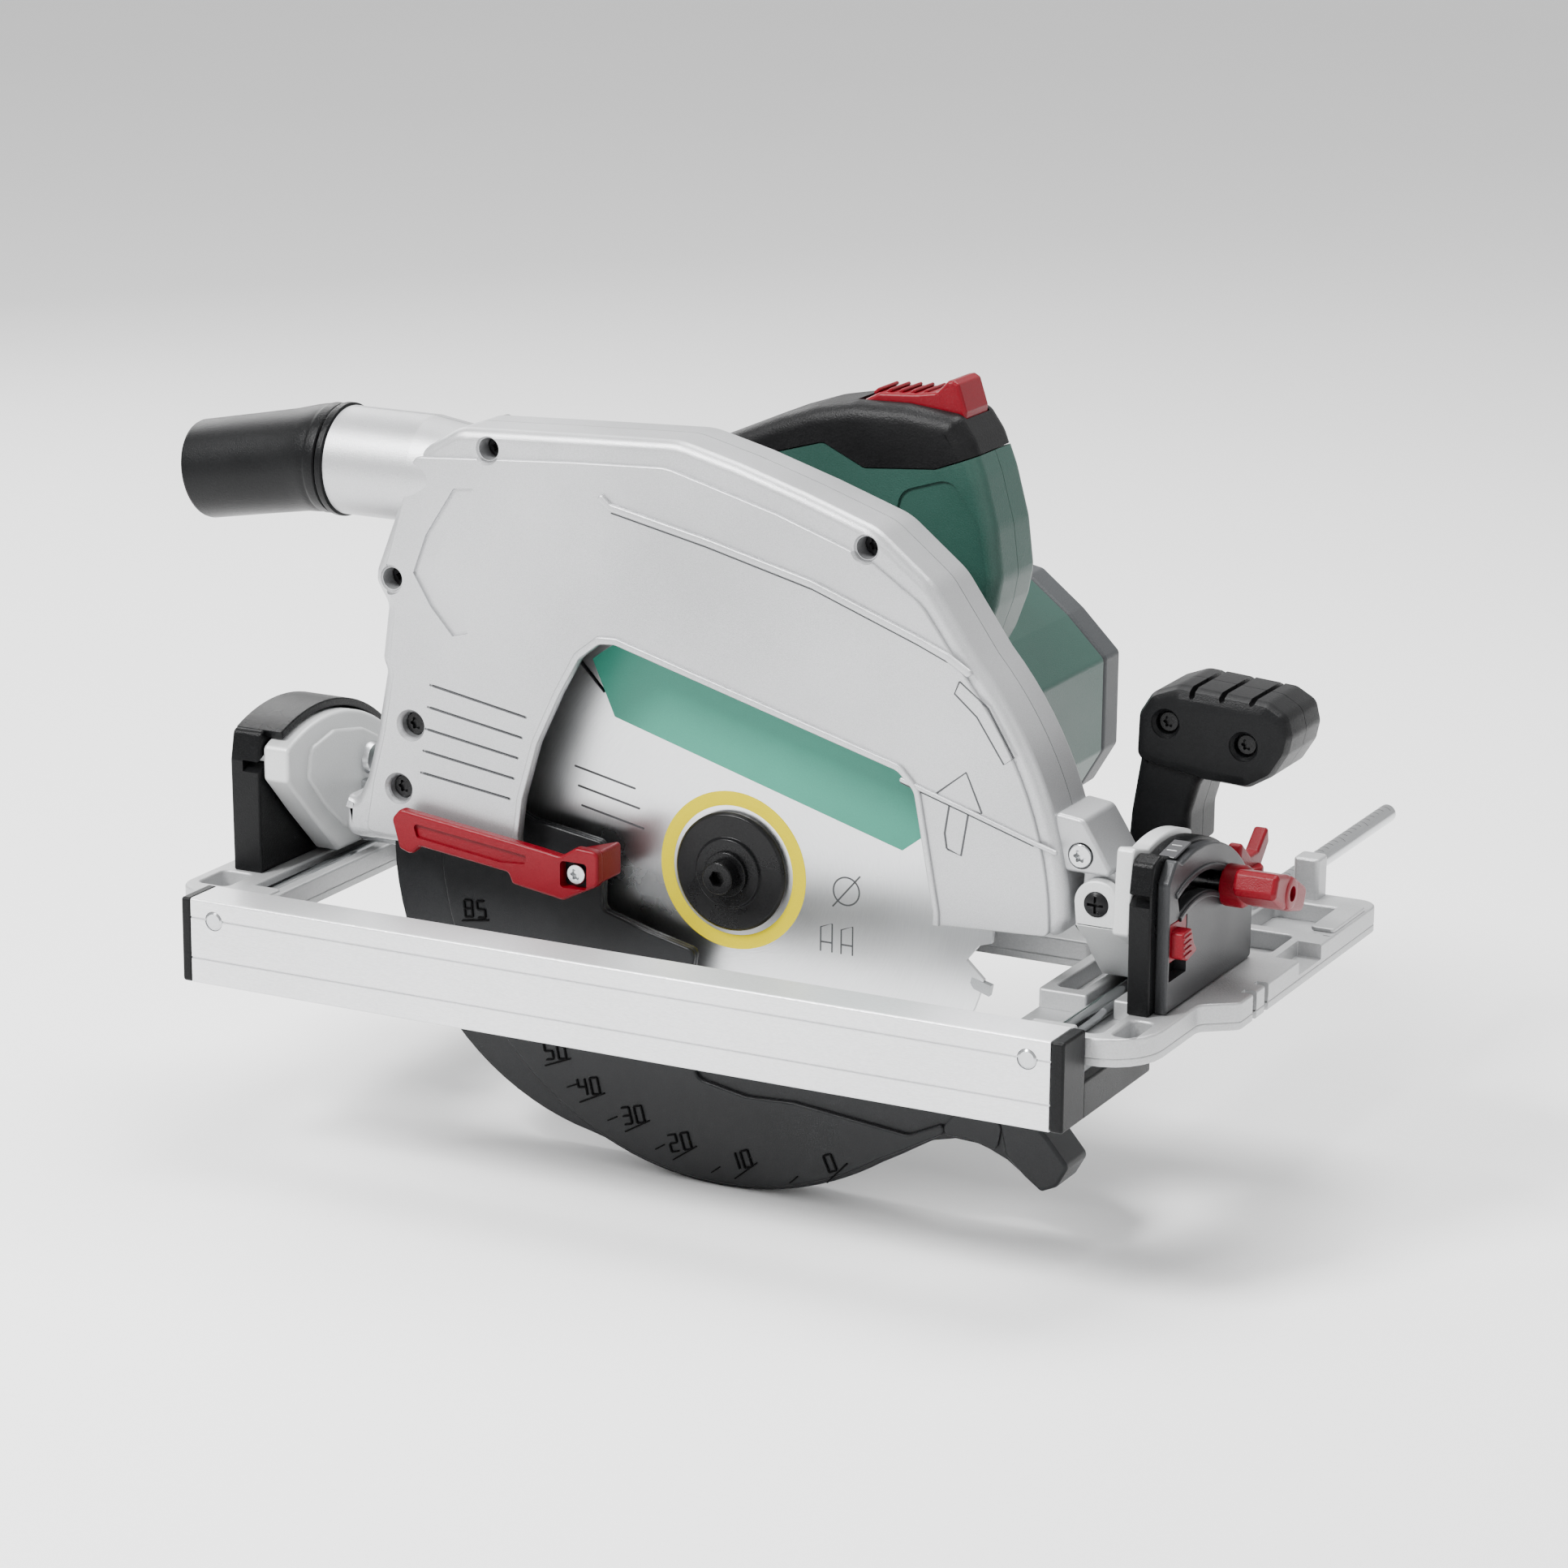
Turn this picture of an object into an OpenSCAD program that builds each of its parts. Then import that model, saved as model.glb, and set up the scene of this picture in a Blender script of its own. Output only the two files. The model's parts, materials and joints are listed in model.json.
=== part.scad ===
// Hand-held circular saw with a 235 mm blade, a bevelling base and a parallel fence.
// Origin: on the sole, under the arbor, in the blade's middle plane.
// +X forward (cutting direction), +Y towards the motor, +Z up.

/* [Blade] */
// Diameter of the saw blade
blade_d = 235; // [225:1:236]
// Thickness of the steel body of the blade
blade_t = 2.0; // [1.6:0.1:2.2]
// Kerf cut by the carbide tips
kerf = 2.8; // [2.6:0.1:3]
// Number of carbide tips
teeth = 24; // [18:2:48]
// Deepest cut below the sole
cut_depth = 85; // [75:1:86]

/* [Base plate] */
// Height of the rims of the base plate
base_h = 11; // [10:0.5:11]
// Near edge of the base plate, on the blade side
base_near = -66; // [-67:1:-64]
// Far edge of the base plate, under the motor
base_far = 150; // [146:1:170]
// Rear edge of the base plate
base_rear = -222; // [-226:1:-220]
// Front edge of the base plate
base_front = 216; // [214:1:220]

/* [Fence] */
// Length of the fence extrusion
fence_len = 376; // [360:2:380]
// Height of the fence extrusion
fence_h = 35; // [32:1:36]
// Diameter of the two guide rods
rod_d = 8; // [7.5:0.1:8.2]
// How far the fence slides out
fence_travel = 130; // [60:5:140]

/* [Guards] */
// Radius of the lower guard's near wall
guard_r = 127; // [125:1:128]
// Wall thickness of the upper guard
guard_wall = 3; // [2.5:0.5:3.5]

/* [Bevel] */
// Radius of the arc slot in each quadrant
slot_r = 55; // [53:1:56]
// Radius of the quadrants' outer arc
quadrant_r = 71; // [70:1:72]

/* [Motor] */
// Radius of the stator
stator_r = 46; // [42:1:47]
// Radius of the armature
armature_r = 27.5; // [24:0.5:27.5]

/* [Hidden] */
$fn = 48;
blade_r = blade_d / 2;
arbor_z = blade_r - cut_depth;
arbor = [0, arbor_z];
pivot = [165, 48];
gear_r = 26.45;
pinion_r = 9;
motor_axis = [16, arbor_z + 32];
parting_y = -4;
near_y = -24;
far_y = 10.5;
rod_z0 = 6.3;
front_rod_x = 166.7;
rear_rod_x = -189;
rod_end_y = 293;
fence_near = -86.5;
fence_back = -66.5;
fence_x0 = -200;
fence_x1 = fence_x0 + fence_len;
fence_z0 = -20.7;
fence_z1 = fence_z0 + fence_h;
tube_y = -4;
tube_z = 181;
bolt_a = 61;
bolt_y = slot_r * cos(bolt_a);
bolt_z = slot_r * sin(bolt_a);
quad_x0 = 183.5;
quad_x1 = 197.5;
rquad_x0 = -214;
rquad_x1 = -200;
handle_y = 65;
grip_y = 45;
guide_r = 314;
guide_y = 19;

// ---------- helpers ----------
function unit(v) = v / norm(v);
function arc(c, r, a0, a1, n = 12) =
    [for (i = [0:n]) let (a = a0 + (a1 - a0) * i / n) c + r * [cos(a), sin(a)]];
function turn(d) = d > 180 ? d - 360 : d < -180 ? d + 360 : d;
// The arc that rounds corner b between its neighbours a and c
function corner(a, b, c, r, n = 3) =
    r <= 0 ? [b] :
    let (u = unit(a - b), w = unit(c - b), half = acos(max(-1, min(1, u * w))) / 2)
    half > 88 ? [b] :
    let (d = min(r / tan(half), 0.45 * norm(a - b), 0.45 * norm(c - b)), rr = d * tan(half),
        m = b + unit(u + w) * rr / sin(half), p = b + u * d - m, q = b + w * d - m,
        a0 = atan2(p[1], p[0]), da = turn(atan2(q[1], q[0]) - a0))
    [for (i = [0:n]) m + rr * [cos(a0 + da * i / n), sin(a0 + da * i / n)]];
function rounded(p, r) = let (n = len(p))
    [for (i = [0:n - 1]) each corner(p[(i + n - 1) % n], p[i], p[(i + 1) % n], is_list(r) ? r[i] : r)];
// Moves every edge of a counter-clockwise outline inwards by d
function inset(p, d) = let (n = len(p)) [for (i = [0:n - 1])
    let (e = unit(p[i] - p[(i + n - 1) % n]), f = unit(p[(i + 1) % n] - p[i]),
        n1 = [-e[1], e[0]], n2 = [-f[1], f[0]])
    p[i] + (n1 + n2) * d / (1 + n1 * n2)];

module along_y(y0, y1) translate([0, y1, 0]) rotate([90, 0, 0]) linear_extrude(y1 - y0) children();
module along_x(x0, x1) translate([x0, 0, 0]) rotate([90, 0, 90]) linear_extrude(x1 - x0) children();
module rod_y(c, r, y0, y1) translate([c[0], y1, c[1]]) rotate([90, 0, 0]) cylinder(r = r, h = y1 - y0);
module rod_x(c, r, x0, x1) translate([x0, c[0], c[1]]) rotate([0, 90, 0]) cylinder(r = r, h = x1 - x0);
module rod_zz(c, r, z0, z1) translate([c[0], c[1], z0]) cylinder(r = r, h = z1 - z0);
module ring_y(c, r0, r1, y0, y1) difference() {
    rod_y(c, r1, y0, y1);
    rod_y(c, r0, y0 - 1, y1 + 1);
}
module block(a, b) translate(a) cube(b - a);
// A countersunk-hole screw along Y whose head faces -Y
module screw_y(c, head_r, head_y, head_t, shank_r, end_y) difference() {
    union() {
        rod_y(c, head_r, head_y, head_y + head_t);
        rod_y(c, shank_r, head_y + head_t, end_y);
    }
    rod_y(c, head_r * 0.45, head_y - 1, head_y + head_t * 0.6);
}

// ---------- base ----------
open_x0 = -178;
open_x1 = 141;
open_y0 = -60;
open_y1 = 42;
base_outline = rounded([[base_rear, base_near], [203, base_near], [203, -10], [base_front, 0],
    [base_front, base_far], [base_rear, base_far]], [10, 22, 0, 3, 6, 14]);
// Pockets between the ribs, each as x0, y0, x1, y1
far_pockets = [for (i = [0:5]) [-170 + i * 53, 50, -170 + i * 53 + 47, 108]];
far_pockets2 = [for (i = [0:5]) [-170 + i * 53, 114, -170 + i * 53 + 47, 143]];

module base_plate() color("gainsboro") difference() {
    union() {
        linear_extrude(base_h) polygon(base_outline);
        for (x = [front_rod_x, rear_rod_x]) {
            block([x - 9, base_near, 0], [x + 9, base_near + 15, x > 0 ? 13.5 : 12]);
            block([x - 9, 114, 0], [x + 9, base_far, 15]);
        }
        block([182, 139, 0], [193, base_far, 28]);
    }
    translate([0, 0, -1]) linear_extrude(base_h + 2) polygon(rounded([[open_x0, open_y0],
        [open_x1, open_y0], [open_x1, open_y1], [open_x0, open_y1]], 8));
    block([open_x1 - 1, open_y0 - 1, 3], [quad_x0 - 0.3, -20, base_h + 5]);
    for (x = [front_rod_x, rear_rod_x]) {
        block([x - 5.5, base_near + 15, 1.6], [x + 5.5, 114, base_h + 1]);
        rod_y([x, rod_z0], rod_d / 2 + 0.1, base_near - 1, base_far + 1);
        rod_zz([x, 128], 3.05, rod_z0, 16);
    }
    for (p = concat(far_pockets, far_pockets2)) block([p[0], p[1], 3], [p[2], p[3], base_h + 1]);
    for (p = [[-217, -56, -201, -36], [-217, 64, -201, 104], [-217, 110, -201, 142],
        [146, 50, 158, 108], [176, 64, 206, 92], [176, 98, 206, 134], [146, -14, 159, 42],
        [187, -60, 197, -37]])
        block([p[0], p[1], 3], [p[2], p[3], base_h + 1]);
    // Sight notches in the front edge
    for (y = [12, 24]) block([211, y, -1], [base_front + 1, y + 4, base_h + 1]);
    block([206, 60, 5], [base_front + 1, 84, base_h + 1]);
    for (x = [quad_x0 + 7, rquad_x0 + 7]) for (y = [-26, 49]) rod_zz([x, y], 2.5, -1, base_h + 1);
    for (x = [quad_x0 + 7, rquad_x0 + 7]) for (y = [-26, 49]) rod_zz([x, y], 4.6, -1, 4);
}

// ---------- bevel quadrants and sectors ----------
// Outline in the YZ plane, centred on the bevel axis at the sole
quad_outline = concat([[-34, base_h], [57, base_h], [57, 42]],
    arc([0, 0], quadrant_r, 36.5, 102, 14), [[-24, 73], [-31, 72], [-35, 58]]);
module quadrant_shape(x0, x1) difference() {
    along_x(x0, x1) polygon(rounded(quad_outline, 0.8));
    along_x(x0 - 1, x1 + 1) polygon(concat(arc([0, 0], slot_r + 3.8, 57, 110, 14),
        arc([0, 0], slot_r - 3.8, 110, 57, 14)));
}
// Arc groove that guides the sector's tab
module groove(x0, x1) along_x(x0, x1) polygon(concat(arc([0, 0], 68, 50, 125, 16),
    arc([0, 0], 64, 125, 50, 16)));

stop_y = [-27, -11];
stop_z = [24, 46];
module front_quadrant() color("dimgray") difference() {
    quadrant_shape(quad_x0, quad_x1);
    groove(quad_x0 - 1, 192);
    // Seat and slot of the bevel-stop slider
    block([quad_x1 - 6, stop_y[0] - 0.3, stop_z[0] - 0.3], [quad_x1 + 1, stop_y[1] + 0.3, stop_z[1] + 0.3]);
    for (y = [-26, 49]) rod_zz([quad_x0 + 7, y], 2.05, base_h - 1, base_h + 10);
}
module rear_quadrant() color("dimgray") difference() {
    union() {
        quadrant_shape(rquad_x0, rquad_x1);
        along_x(rquad_x1 - 1, rquad_x1 + 8) polygon(concat(arc([0, 0], 77, 36, 113, 14),
            arc([0, 0], 73.5, 113, 36, 14)));
        along_x(rquad_x0, rquad_x1) polygon(concat(arc([0, 0], 77, 36, 113, 14),
            arc([0, 0], 70, 113, 36, 14)));
    }
    groove(-208, rquad_x1 + 1);
    for (y = [-26, 49]) rod_zz([rquad_x0 + 7, y], 2.05, base_h - 1, base_h + 10);
}
module quadrant_screws() color("silver")
    for (x = [quad_x0 + 7, rquad_x0 + 7]) for (y = [-26, 49]) {
        rod_zz([x, y], 4.4, 0.6, 4);
        rod_zz([x, y], 2, 4, base_h + 9);
    }

sector_front_outline = concat([[-33, 41], [-15.5, 32], [4.5, 12.5], [56, 12.5], [56, 46]],
    arc([0, 0], 73, 39, 103, 12), [[-30, 75]]);
module front_sector() color("whitesmoke") difference() {
    union() {
        along_x(176, quad_x0 - 0.3) polygon(rounded(sector_front_outline, 1));
        along_x(quad_x0 - 1, 191.4) polygon(concat(arc([0, 0], 67.6, 52, 117, 14),
            arc([0, 0], 64.4, 117, 52, 14)));
    }
    rod_x([bolt_y, bolt_z], 3.1, 170, 190);
    rod_x([bolt_y, bolt_z], 6.05, 175, 178.7);
    // Clearance for the stem of the front handle
    block([175, 25.6, 56.6], [quad_x0 + 10, 70, 90]);
}
sector_rear_outline = concat([[-33, 51], [-16, 33], [4.5, 12.5], [56, 12.5], [56, 46]],
    arc([0, 0], 72.8, 39, 117, 12));
module rear_sector() color("lightgray") difference() {
    union() {
        along_x(rquad_x1 + 0.3, -187) polygon(rounded(sector_rear_outline, 1));
        along_x(-207.4, rquad_x1 + 1) polygon(concat(arc([0, 0], 67.6, 52, 117, 14),
            arc([0, 0], 64.4, 117, 52, 14)));
    }
    rod_x([bolt_y, bolt_z], 3.1, -210, -180);
}
module front_bracket() color("silver") difference() {
    union() {
        along_x(156.5, 175.7) polygon([[-22, 38.8], [-6.5, 23.3], [4.5, 12.3], [62, 12.3], [62, 39],
            [-22, 39]]);
        for (y = [[-22, -16.1], [6.3, 12]]) along_y(y[0], y[1])
            polygon(concat([[156.5, 38.9], [175.7, 38.9]], arc(pivot, 9.3, -5, 185, 16)));
        block([154, 24, 34], [175.7, 64, 48]);
    }
    rod_y(pivot, 5.05, -23, 13);
    block([159, 16, 11], [173, 60, 34]);
}
module pivot_screw() color("black") difference() {
    union() {
        rod_y(pivot, 5, -22.6, 12);
        rod_y(pivot, 6.2, 12, 15.5);
    }
    block([pivot[0] - 3.2, -23, pivot[1] - 0.6], [pivot[0] + 3.2, -21, pivot[1] + 0.6]);
    block([pivot[0] - 0.6, -23, pivot[1] - 3.2], [pivot[0] + 0.6, -21, pivot[1] + 3.2]);
}
// Curved strap behind the guard that the depth lever clamps
module depth_guide() color("silver") difference() {
    union() {
        along_y(guide_y, guide_y + 5.3) polygon(concat(arc(pivot, guide_r + 7, 186, 150.5, 20),
            arc(pivot, guide_r - 7, 150.5, 186, 20)));
        block([-187, guide_y, 14], [-154, guide_y + 5.3, 40]);
    }
    along_y(guide_y - 1, guide_y + 6) polygon(concat(arc(pivot, guide_r + 3.4, 184.4, 151.8, 20),
        arc(pivot, guide_r - 3.4, 151.8, 184.4, 20)));
}
module bevel_bolts() color("silver") {
    rod_x([bolt_y, bolt_z], 3, 176, 214);
    rod_x([bolt_y, bolt_z], 6, 176, 178.6);
    rod_x([bolt_y, bolt_z], 3, -230, -183);
    rod_x([bolt_y, bolt_z], 7, -186.9, -183);
}

// ---------- upper guard ----------
guard_sharp = concat([[-168, 29], [-84, 31], [99, 31], [151, 33]],
    arc(arbor, 154, 4, 42, 8),
    [[71, 183], [-14, 208], [-112, 203], [-131, 190], [-151, 142], [-151, 137], [-146, 128],
    [-149, 105], [-147, 101], [-152, 74], [-157, 55], [-167, 46]]);
guard_outline = rounded(guard_sharp, 3);
guard_inner = inset(guard_sharp, guard_wall);
window = rounded([[-84, 20], [99, 20], [99, 36], [90, 84], [84, 90], [-40, 125], [-47, 124],
    [-56, 117], [-65, 101], [-75, 80], [-82, 56], [-84, 41]], 2);
// Screws through the joint of the two shells, then short screws in the near shell alone
shell_screws = [[-98, 196], [-143, 139], [67.5, 174.5]];
liner_screws = [[-134, 80], [-140, 53]];

module dust_spout() color("silver") difference() {
    union() {
        rod_x([tube_y, tube_z], 22, -174, -131);
        rod_x([tube_y, tube_z], 19.5, -182, -173);
    }
    rod_x([tube_y, tube_z], 18, -183, -120);
    along_y(-40, 40) polygon(guard_outline);
}
module shell(y0, y1, in0, in1) difference() {
    along_y(y0, y1) polygon(guard_outline);
    difference() {
        along_y(in0, in1) polygon(guard_inner);
        for (c = shell_screws) rod_y(c, 5.2, in0 - 1, in1 + 1);
    }
    block([-154, in0, 20], [147.5, in1, 60]);
}
module upper_guard_near() color("lightgray") difference() {
    union() {
        shell(near_y, parting_y, near_y + 2.5, parting_y + 1);
        for (c = liner_screws) rod_y(c, 7.5, near_y + 1, -15.3);
    }
    along_y(near_y - 1, near_y + 3) polygon(window);
    for (c = shell_screws) {
        rod_y(c, 4, near_y - 1, -15);
        rod_y(c, 1.9, -16, parting_y + 1);
    }
    for (c = liner_screws) {
        rod_y(c, 5, near_y - 1, -18);
        rod_y(c, 1.9, -19, -15);
    }
    rod_x([tube_y, tube_z], 18, -183, -112);
}
module upper_guard_far() color("silver") difference() {
    union() {
        shell(parting_y, far_y, parting_y - 1, far_y - 2.5);
        // Lugs that hang on the front pivot
        along_y(-15.8, 6) polygon(concat([[157, 60]], arc(pivot, 8.7, 180, 360, 16), [[170, 60]]));
        along_y(-20, far_y) polygon([[152.8, 58.8], [169.5, 58.8], [170, 60.5], [163, 71], [157, 80],
            [152.8, 80]]);
        along_y(parting_y, far_y) polygon([[145, 60], [153, 60], [153, 80], [145, 80]]);
        // Boss for the depth lock bolt
        rod_y([-148.5, 31], 7, far_y - 1, guide_y - 0.3);
        block([-153, 8, 26], [-140, far_y, 60]);
    }
    rod_y(arbor, 36, 0, far_y + 1);
    rod_y(pivot, 5.05, -23, 13);
    rod_y([-148.5, 31], 3.05, 0, guide_y + 1);
    rod_y([157.3, 65.5], 2, -21, 4);
    rod_y([157.3, 65.5], 4.6, -21, -17);
    for (c = shell_screws) rod_y(c, 1.9, parting_y - 1, 5);
    rod_x([tube_y, tube_z], 18, -183, -112);
}
module guard_screws() color("silver") {
    for (c = shell_screws) screw_y(c, 3.9, -17.6, 2.6, 1.85, 4);
    for (c = liner_screws) screw_y(c, 4.3, -18 - 2.6, 2.6, 1.85, -15.6);
}
module lug_screw() color("silver") screw_y([157.3, 65.5], 4.5, -20.6, 3.6, 1.95, 3);

// ---------- gear case, motor ----------
housing_sharp = [[-44, 46], [-34, 28], [-14, 15], [46, 15], [66, 30], [76, 47], [76, 87],
    [59, 104], [40, 119], [10, 125], [-20, 119], [-38, 102], [-44, 84]];
housing_outline = rounded(housing_sharp, 2);
housing_y0 = 60;
cap_y0 = 188;
cap_y1 = 210;

module gear_case() color("silver") difference() {
    union() {
        rod_y(arbor, 26, 3.6, 11);
        rod_y(arbor, 40, far_y, 14);
        hull() {
            rod_y(arbor, 31, 13, 38);
            rod_y(motor_axis, 27, 13, 38);
        }
        hull() {
            rod_y(motor_axis + [0, 2], 34, 37, 40);
            along_y(56, housing_y0) polygon(housing_outline);
        }
    }
    block([-60, -1, -20], [60, 60, 1.2]);
    rod_y(arbor, 19, 12, 23);
    rod_y(arbor, 9, 0, 13);
    rod_y(arbor, 28, 22.5, 36);
    rod_y(motor_axis, 11.5, 21, 36.5);
    rod_y(arbor, 14, 35, 46);
    rod_y(motor_axis, 16, 40, 51);
    rod_y(motor_axis, 7, 36, 61);
    rod_y(motor_axis, 38, 51, 61);
    rod_y([-27, 60], 3.05, 8, 60);
}
module motor_housing() color("darkslategray") difference() {
    along_y(housing_y0, cap_y0) polygon(housing_outline);
    along_y(housing_y0 - 1, cap_y0 + 1) polygon(inset(housing_sharp, 3));
    for (x = [-12, 0, 12, 24, 36]) block([x, 176, 120], [x + 5, 184, 130]);
}
module motor_end_cap() color("dimgray") difference() {
    union() {
        along_y(cap_y0, cap_y1 - 6) polygon(housing_outline);
        along_y(cap_y1 - 7, cap_y1) polygon(inset(housing_sharp, 6));
    }
    along_y(cap_y0 - 1, cap_y1 - 4) polygon(inset(housing_sharp, 9));
    for (a = [0:40:320])
        rod_y(motor_axis + [0, 5] + 28 * [cos(a), sin(a)], 3.2, cap_y1 - 8, cap_y1 + 1);
    for (p = [[-31, 88], [62, 88], [56, 32], [-24, 32]]) {
        rod_y(p, 2, cap_y0 - 1, cap_y1 + 1);
        rod_y(p, 4.1, cap_y1 - 10, cap_y1 + 1);
    }
}
module housing_screws() color("silver") for (p = [[-31, 88], [62, 88], [56, 32], [-24, 32]]) {
    rod_y(p, 1.9, cap_y0 + 0.2, cap_y1 - 10);
    rod_y(p, 3.9, cap_y1 - 10, cap_y1 - 6.5);
}
module stator() color("sienna") difference() {
    rod_y(motor_axis, stator_r, 86, 140);
    rod_y(motor_axis, armature_r + 0.8, 85, 141);
}
module bearings() color("lightsteelblue") {
    ring_y(arbor, 8.55, 19, 12, 22);
    ring_y(arbor, 6.05, 14, 38, 46);
    ring_y(motor_axis, 6.05, 16, 40, 50);
    ring_y(motor_axis, 4.55, 13, 176, 184);
}
// Bridge that holds the brushes and the rear bearing
module brush_gear() color("goldenrod") {
    difference() {
        union() {
            rod_y(motor_axis, 18, 170, 186);
            block([motor_axis[0] - 44, 170, motor_axis[1] - 8], [motor_axis[0] + 44, 176, motor_axis[1] + 8]);
        }
        rod_y(motor_axis, 13, 169, 187);
    }
    for (s = [-1, 1]) translate([motor_axis[0], 0, motor_axis[1]]) scale([s, 1, 1])
        block([18.2, 152, -5], [42, 170, 5]);
}
module rotor_shaft() color("silver") {
    rod_y(motor_axis, 6, 22, 172);
    rod_y(motor_axis, 4.5, 171, 186);
    difference() {
        rod_y(motor_axis, pinion_r, 23.5, 35.5);
        for (a = [0:360 / 14:359]) rod_y(motor_axis + (pinion_r + 0.5) * [cos(a), sin(a)], 0.9, 23, 36);
    }
}
module armature() color("peru") ring_y(motor_axis, 6, armature_r, 86, 140);
module commutator() color("orange") ring_y(motor_axis, 6, 17.5, 150, 168);
module cooling_fan() color("black") difference() {
    union() {
        ring_y(motor_axis, 6, 14, 63, 80);
        ring_y(motor_axis, 6, 36, 63, 66);
        for (a = [0:30:330]) translate([motor_axis[0], 0, motor_axis[1]]) rotate([0, a, 0])
            block([12, 64, -0.8], [35, 78, 0.8]);
    }
}

// ---------- blade and spindle ----------
module tips(half) for (i = [0:teeth - 1]) let (a = 360 * i / teeth)
    along_y(-half, half) polygon([for (q = [[blade_r - 9, -0.1], [blade_r - 9, 1.1],
        [blade_r - 0.4, 1.1], [blade_r, -1.1], [blade_r - 7, -1.0]])
        arbor + q[0] * [cos(a + q[1] - 1.2), sin(a + q[1] - 1.2)]]);
module saw_blade() color("lightsteelblue") difference() {
    rod_y(arbor, blade_r - 4, -blade_t / 2, blade_t / 2);
    rod_y(arbor, 15, -2, 2);
    for (i = [0:teeth - 1]) let (a = 360 * i / teeth)
        along_y(-2, 2) polygon([for (q = [[blade_r - 13, 3], [blade_r + 2, -1.2], [blade_r + 2, 9.5],
            [blade_r - 9, 7]]) arbor + q[0] * [cos(a + q[1]), sin(a + q[1])]]);
    for (a = [45:90:315]) along_y(-2, 2) polygon([for (q = [[blade_r - 30, 0], [blade_r - 30, 1],
        [blade_r - 1, 1.6], [blade_r - 1, 0.6]]) arbor + q[0] * [cos(a + q[1] - 4), sin(a + q[1] - 4)]]);
    tips(blade_t);
}
module carbide_tips() color("gray") tips(kerf / 2);
module inner_flange() color("gray") {
    ring_y(arbor, 8.5, 24.4, 1, 3.2);
    ring_y(arbor, 8.5, 14.95, -1, 1);
}
module outer_flange() color("black") ring_y(arbor, 4.05, 24.4, -5, -1);
module blade_bolt() color("black") difference() {
    union() {
        rod_y(arbor, 9, -8.5, -5);
        rod_y(arbor, 6.6, -15, -8.5);
        rod_y(arbor, 4, -6, 18);
    }
    translate([0, -11, arbor_z]) rotate([90, 0, 0]) cylinder(r = 3.4, h = 6, $fn = 6);
}
module spindle() color("silver") difference() {
    union() {
        rod_y(arbor, 8.5, -0.9, 36);
        rod_y(arbor, 6, 35, 46);
    }
    rod_y(arbor, 4, -2, 20);
}
module drive_gear() color("darkgray") difference() {
    ring_y(arbor, 8.5, gear_r, 24, 35);
    for (i = [0:40]) let (a = 360 * i / 41)
        rod_y(arbor + (gear_r + 0.6) * [cos(a), sin(a)], 1, 23, 36);
    for (a = [0:60:300]) rod_y(arbor + 17 * [cos(a), sin(a)], 3.5, 23, 36);
}
module guard_spring() color("darkgray") {
    for (r = [28, 30.2, 32.4]) ring_y(arbor, r, r + 1, 8, 10.2);
    block([arbor[0] + 28.2, 8, arbor_z - 0.6], [arbor[0] + 33.2, 10.2, arbor_z + 0.6]);
}

// ---------- lower guard ----------
// Outer radius about the arbor: round below, swelling towards the rear
swell = [38.5, 188.5, 112.5];
function lower_r(a) = let (d = a - swell[1], k = swell[0] * cos(d),
    q = pow(swell[2], 2) - pow(swell[0] * sin(d), 2)) max(guard_r + 2, k + sqrt(q));
lip = [[80, -70], [94, -61], [102, -58.5], [113, -59], [124, -63.5], [134, -70], [142, -76],
    [149, -71.5], [154, -62], [143, -50], [126, -36], [112, -24]];
lower_outline = concat([for (a = [165:5:250]) arbor + lower_r(a) * [cos(a), sin(a)]],
    arc(arbor, guard_r + 2, 255, 305, 10), lip);
module lower_plate(y0, y1, d, inner) along_y(y0, y1)
    polygon(concat(inset(lower_outline, d), inner));
near_inner = [[100, -42], [70, -56], [34, -55], [13, -56], [-9, -52], [-16, -30], [-10, 1], [-31, 6],
    [-52, 12], [-52, 40], [-84, 45], [-118, 60]];
far_inner = [[60, 10], [30, 25], [18, 58], [-4, 66], [-26, 60], [-84, 68], [-118, 66]];
module lower_guard() color("darkslategray") difference() {
    union() {
        intersection() {
            lower_plate(-14, -11.4, 0.2, near_inner);
            union() {
                rod_y(arbor, guard_r, -15, -10);
                along_y(-15, -10) polygon(lip);
            }
        }
        lower_plate(-11.5, -9, 0.1, near_inner);
        difference() {
            lower_plate(-9.2, 6.5, 0, far_inner);
            lower_plate(-10, 4.5, 3, [for (p = far_inner) p * 1.02]);
            // Room for the turning blade
            rod_y(arbor, guard_r - 4, -10, 4.5);
        }
        rod_y(arbor, 34, 4, 7.8);
    }
    rod_y(arbor, 26.3, 0, 9);
}
module retract_lever() color("firebrick") difference() {
    union() {
        along_y(-34, -28.8) polygon([[-138, 43], [-134, 31], [-129, 29], [-125, 33], [-84, 28],
            [-82, 23.5], [-59, 20], [-43, 28], [-43, 42], [-53, 42.5], [-60, 38], [-70, 39.5],
            [-134, 47.5]]);
        along_y(-29, -14.2) polygon([[-61, 21], [-43.5, 28], [-43.5, 42], [-60, 37]]);
    }
    rod_y([-54, 31], 4.2, -35, -26);
    rod_y([-54, 31], 2.05, -27, -13);
}
module lever_screw() color("silver") screw_y([-54, 31], 4.1, -28.6, 2.6, 2, -14.2);

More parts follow.
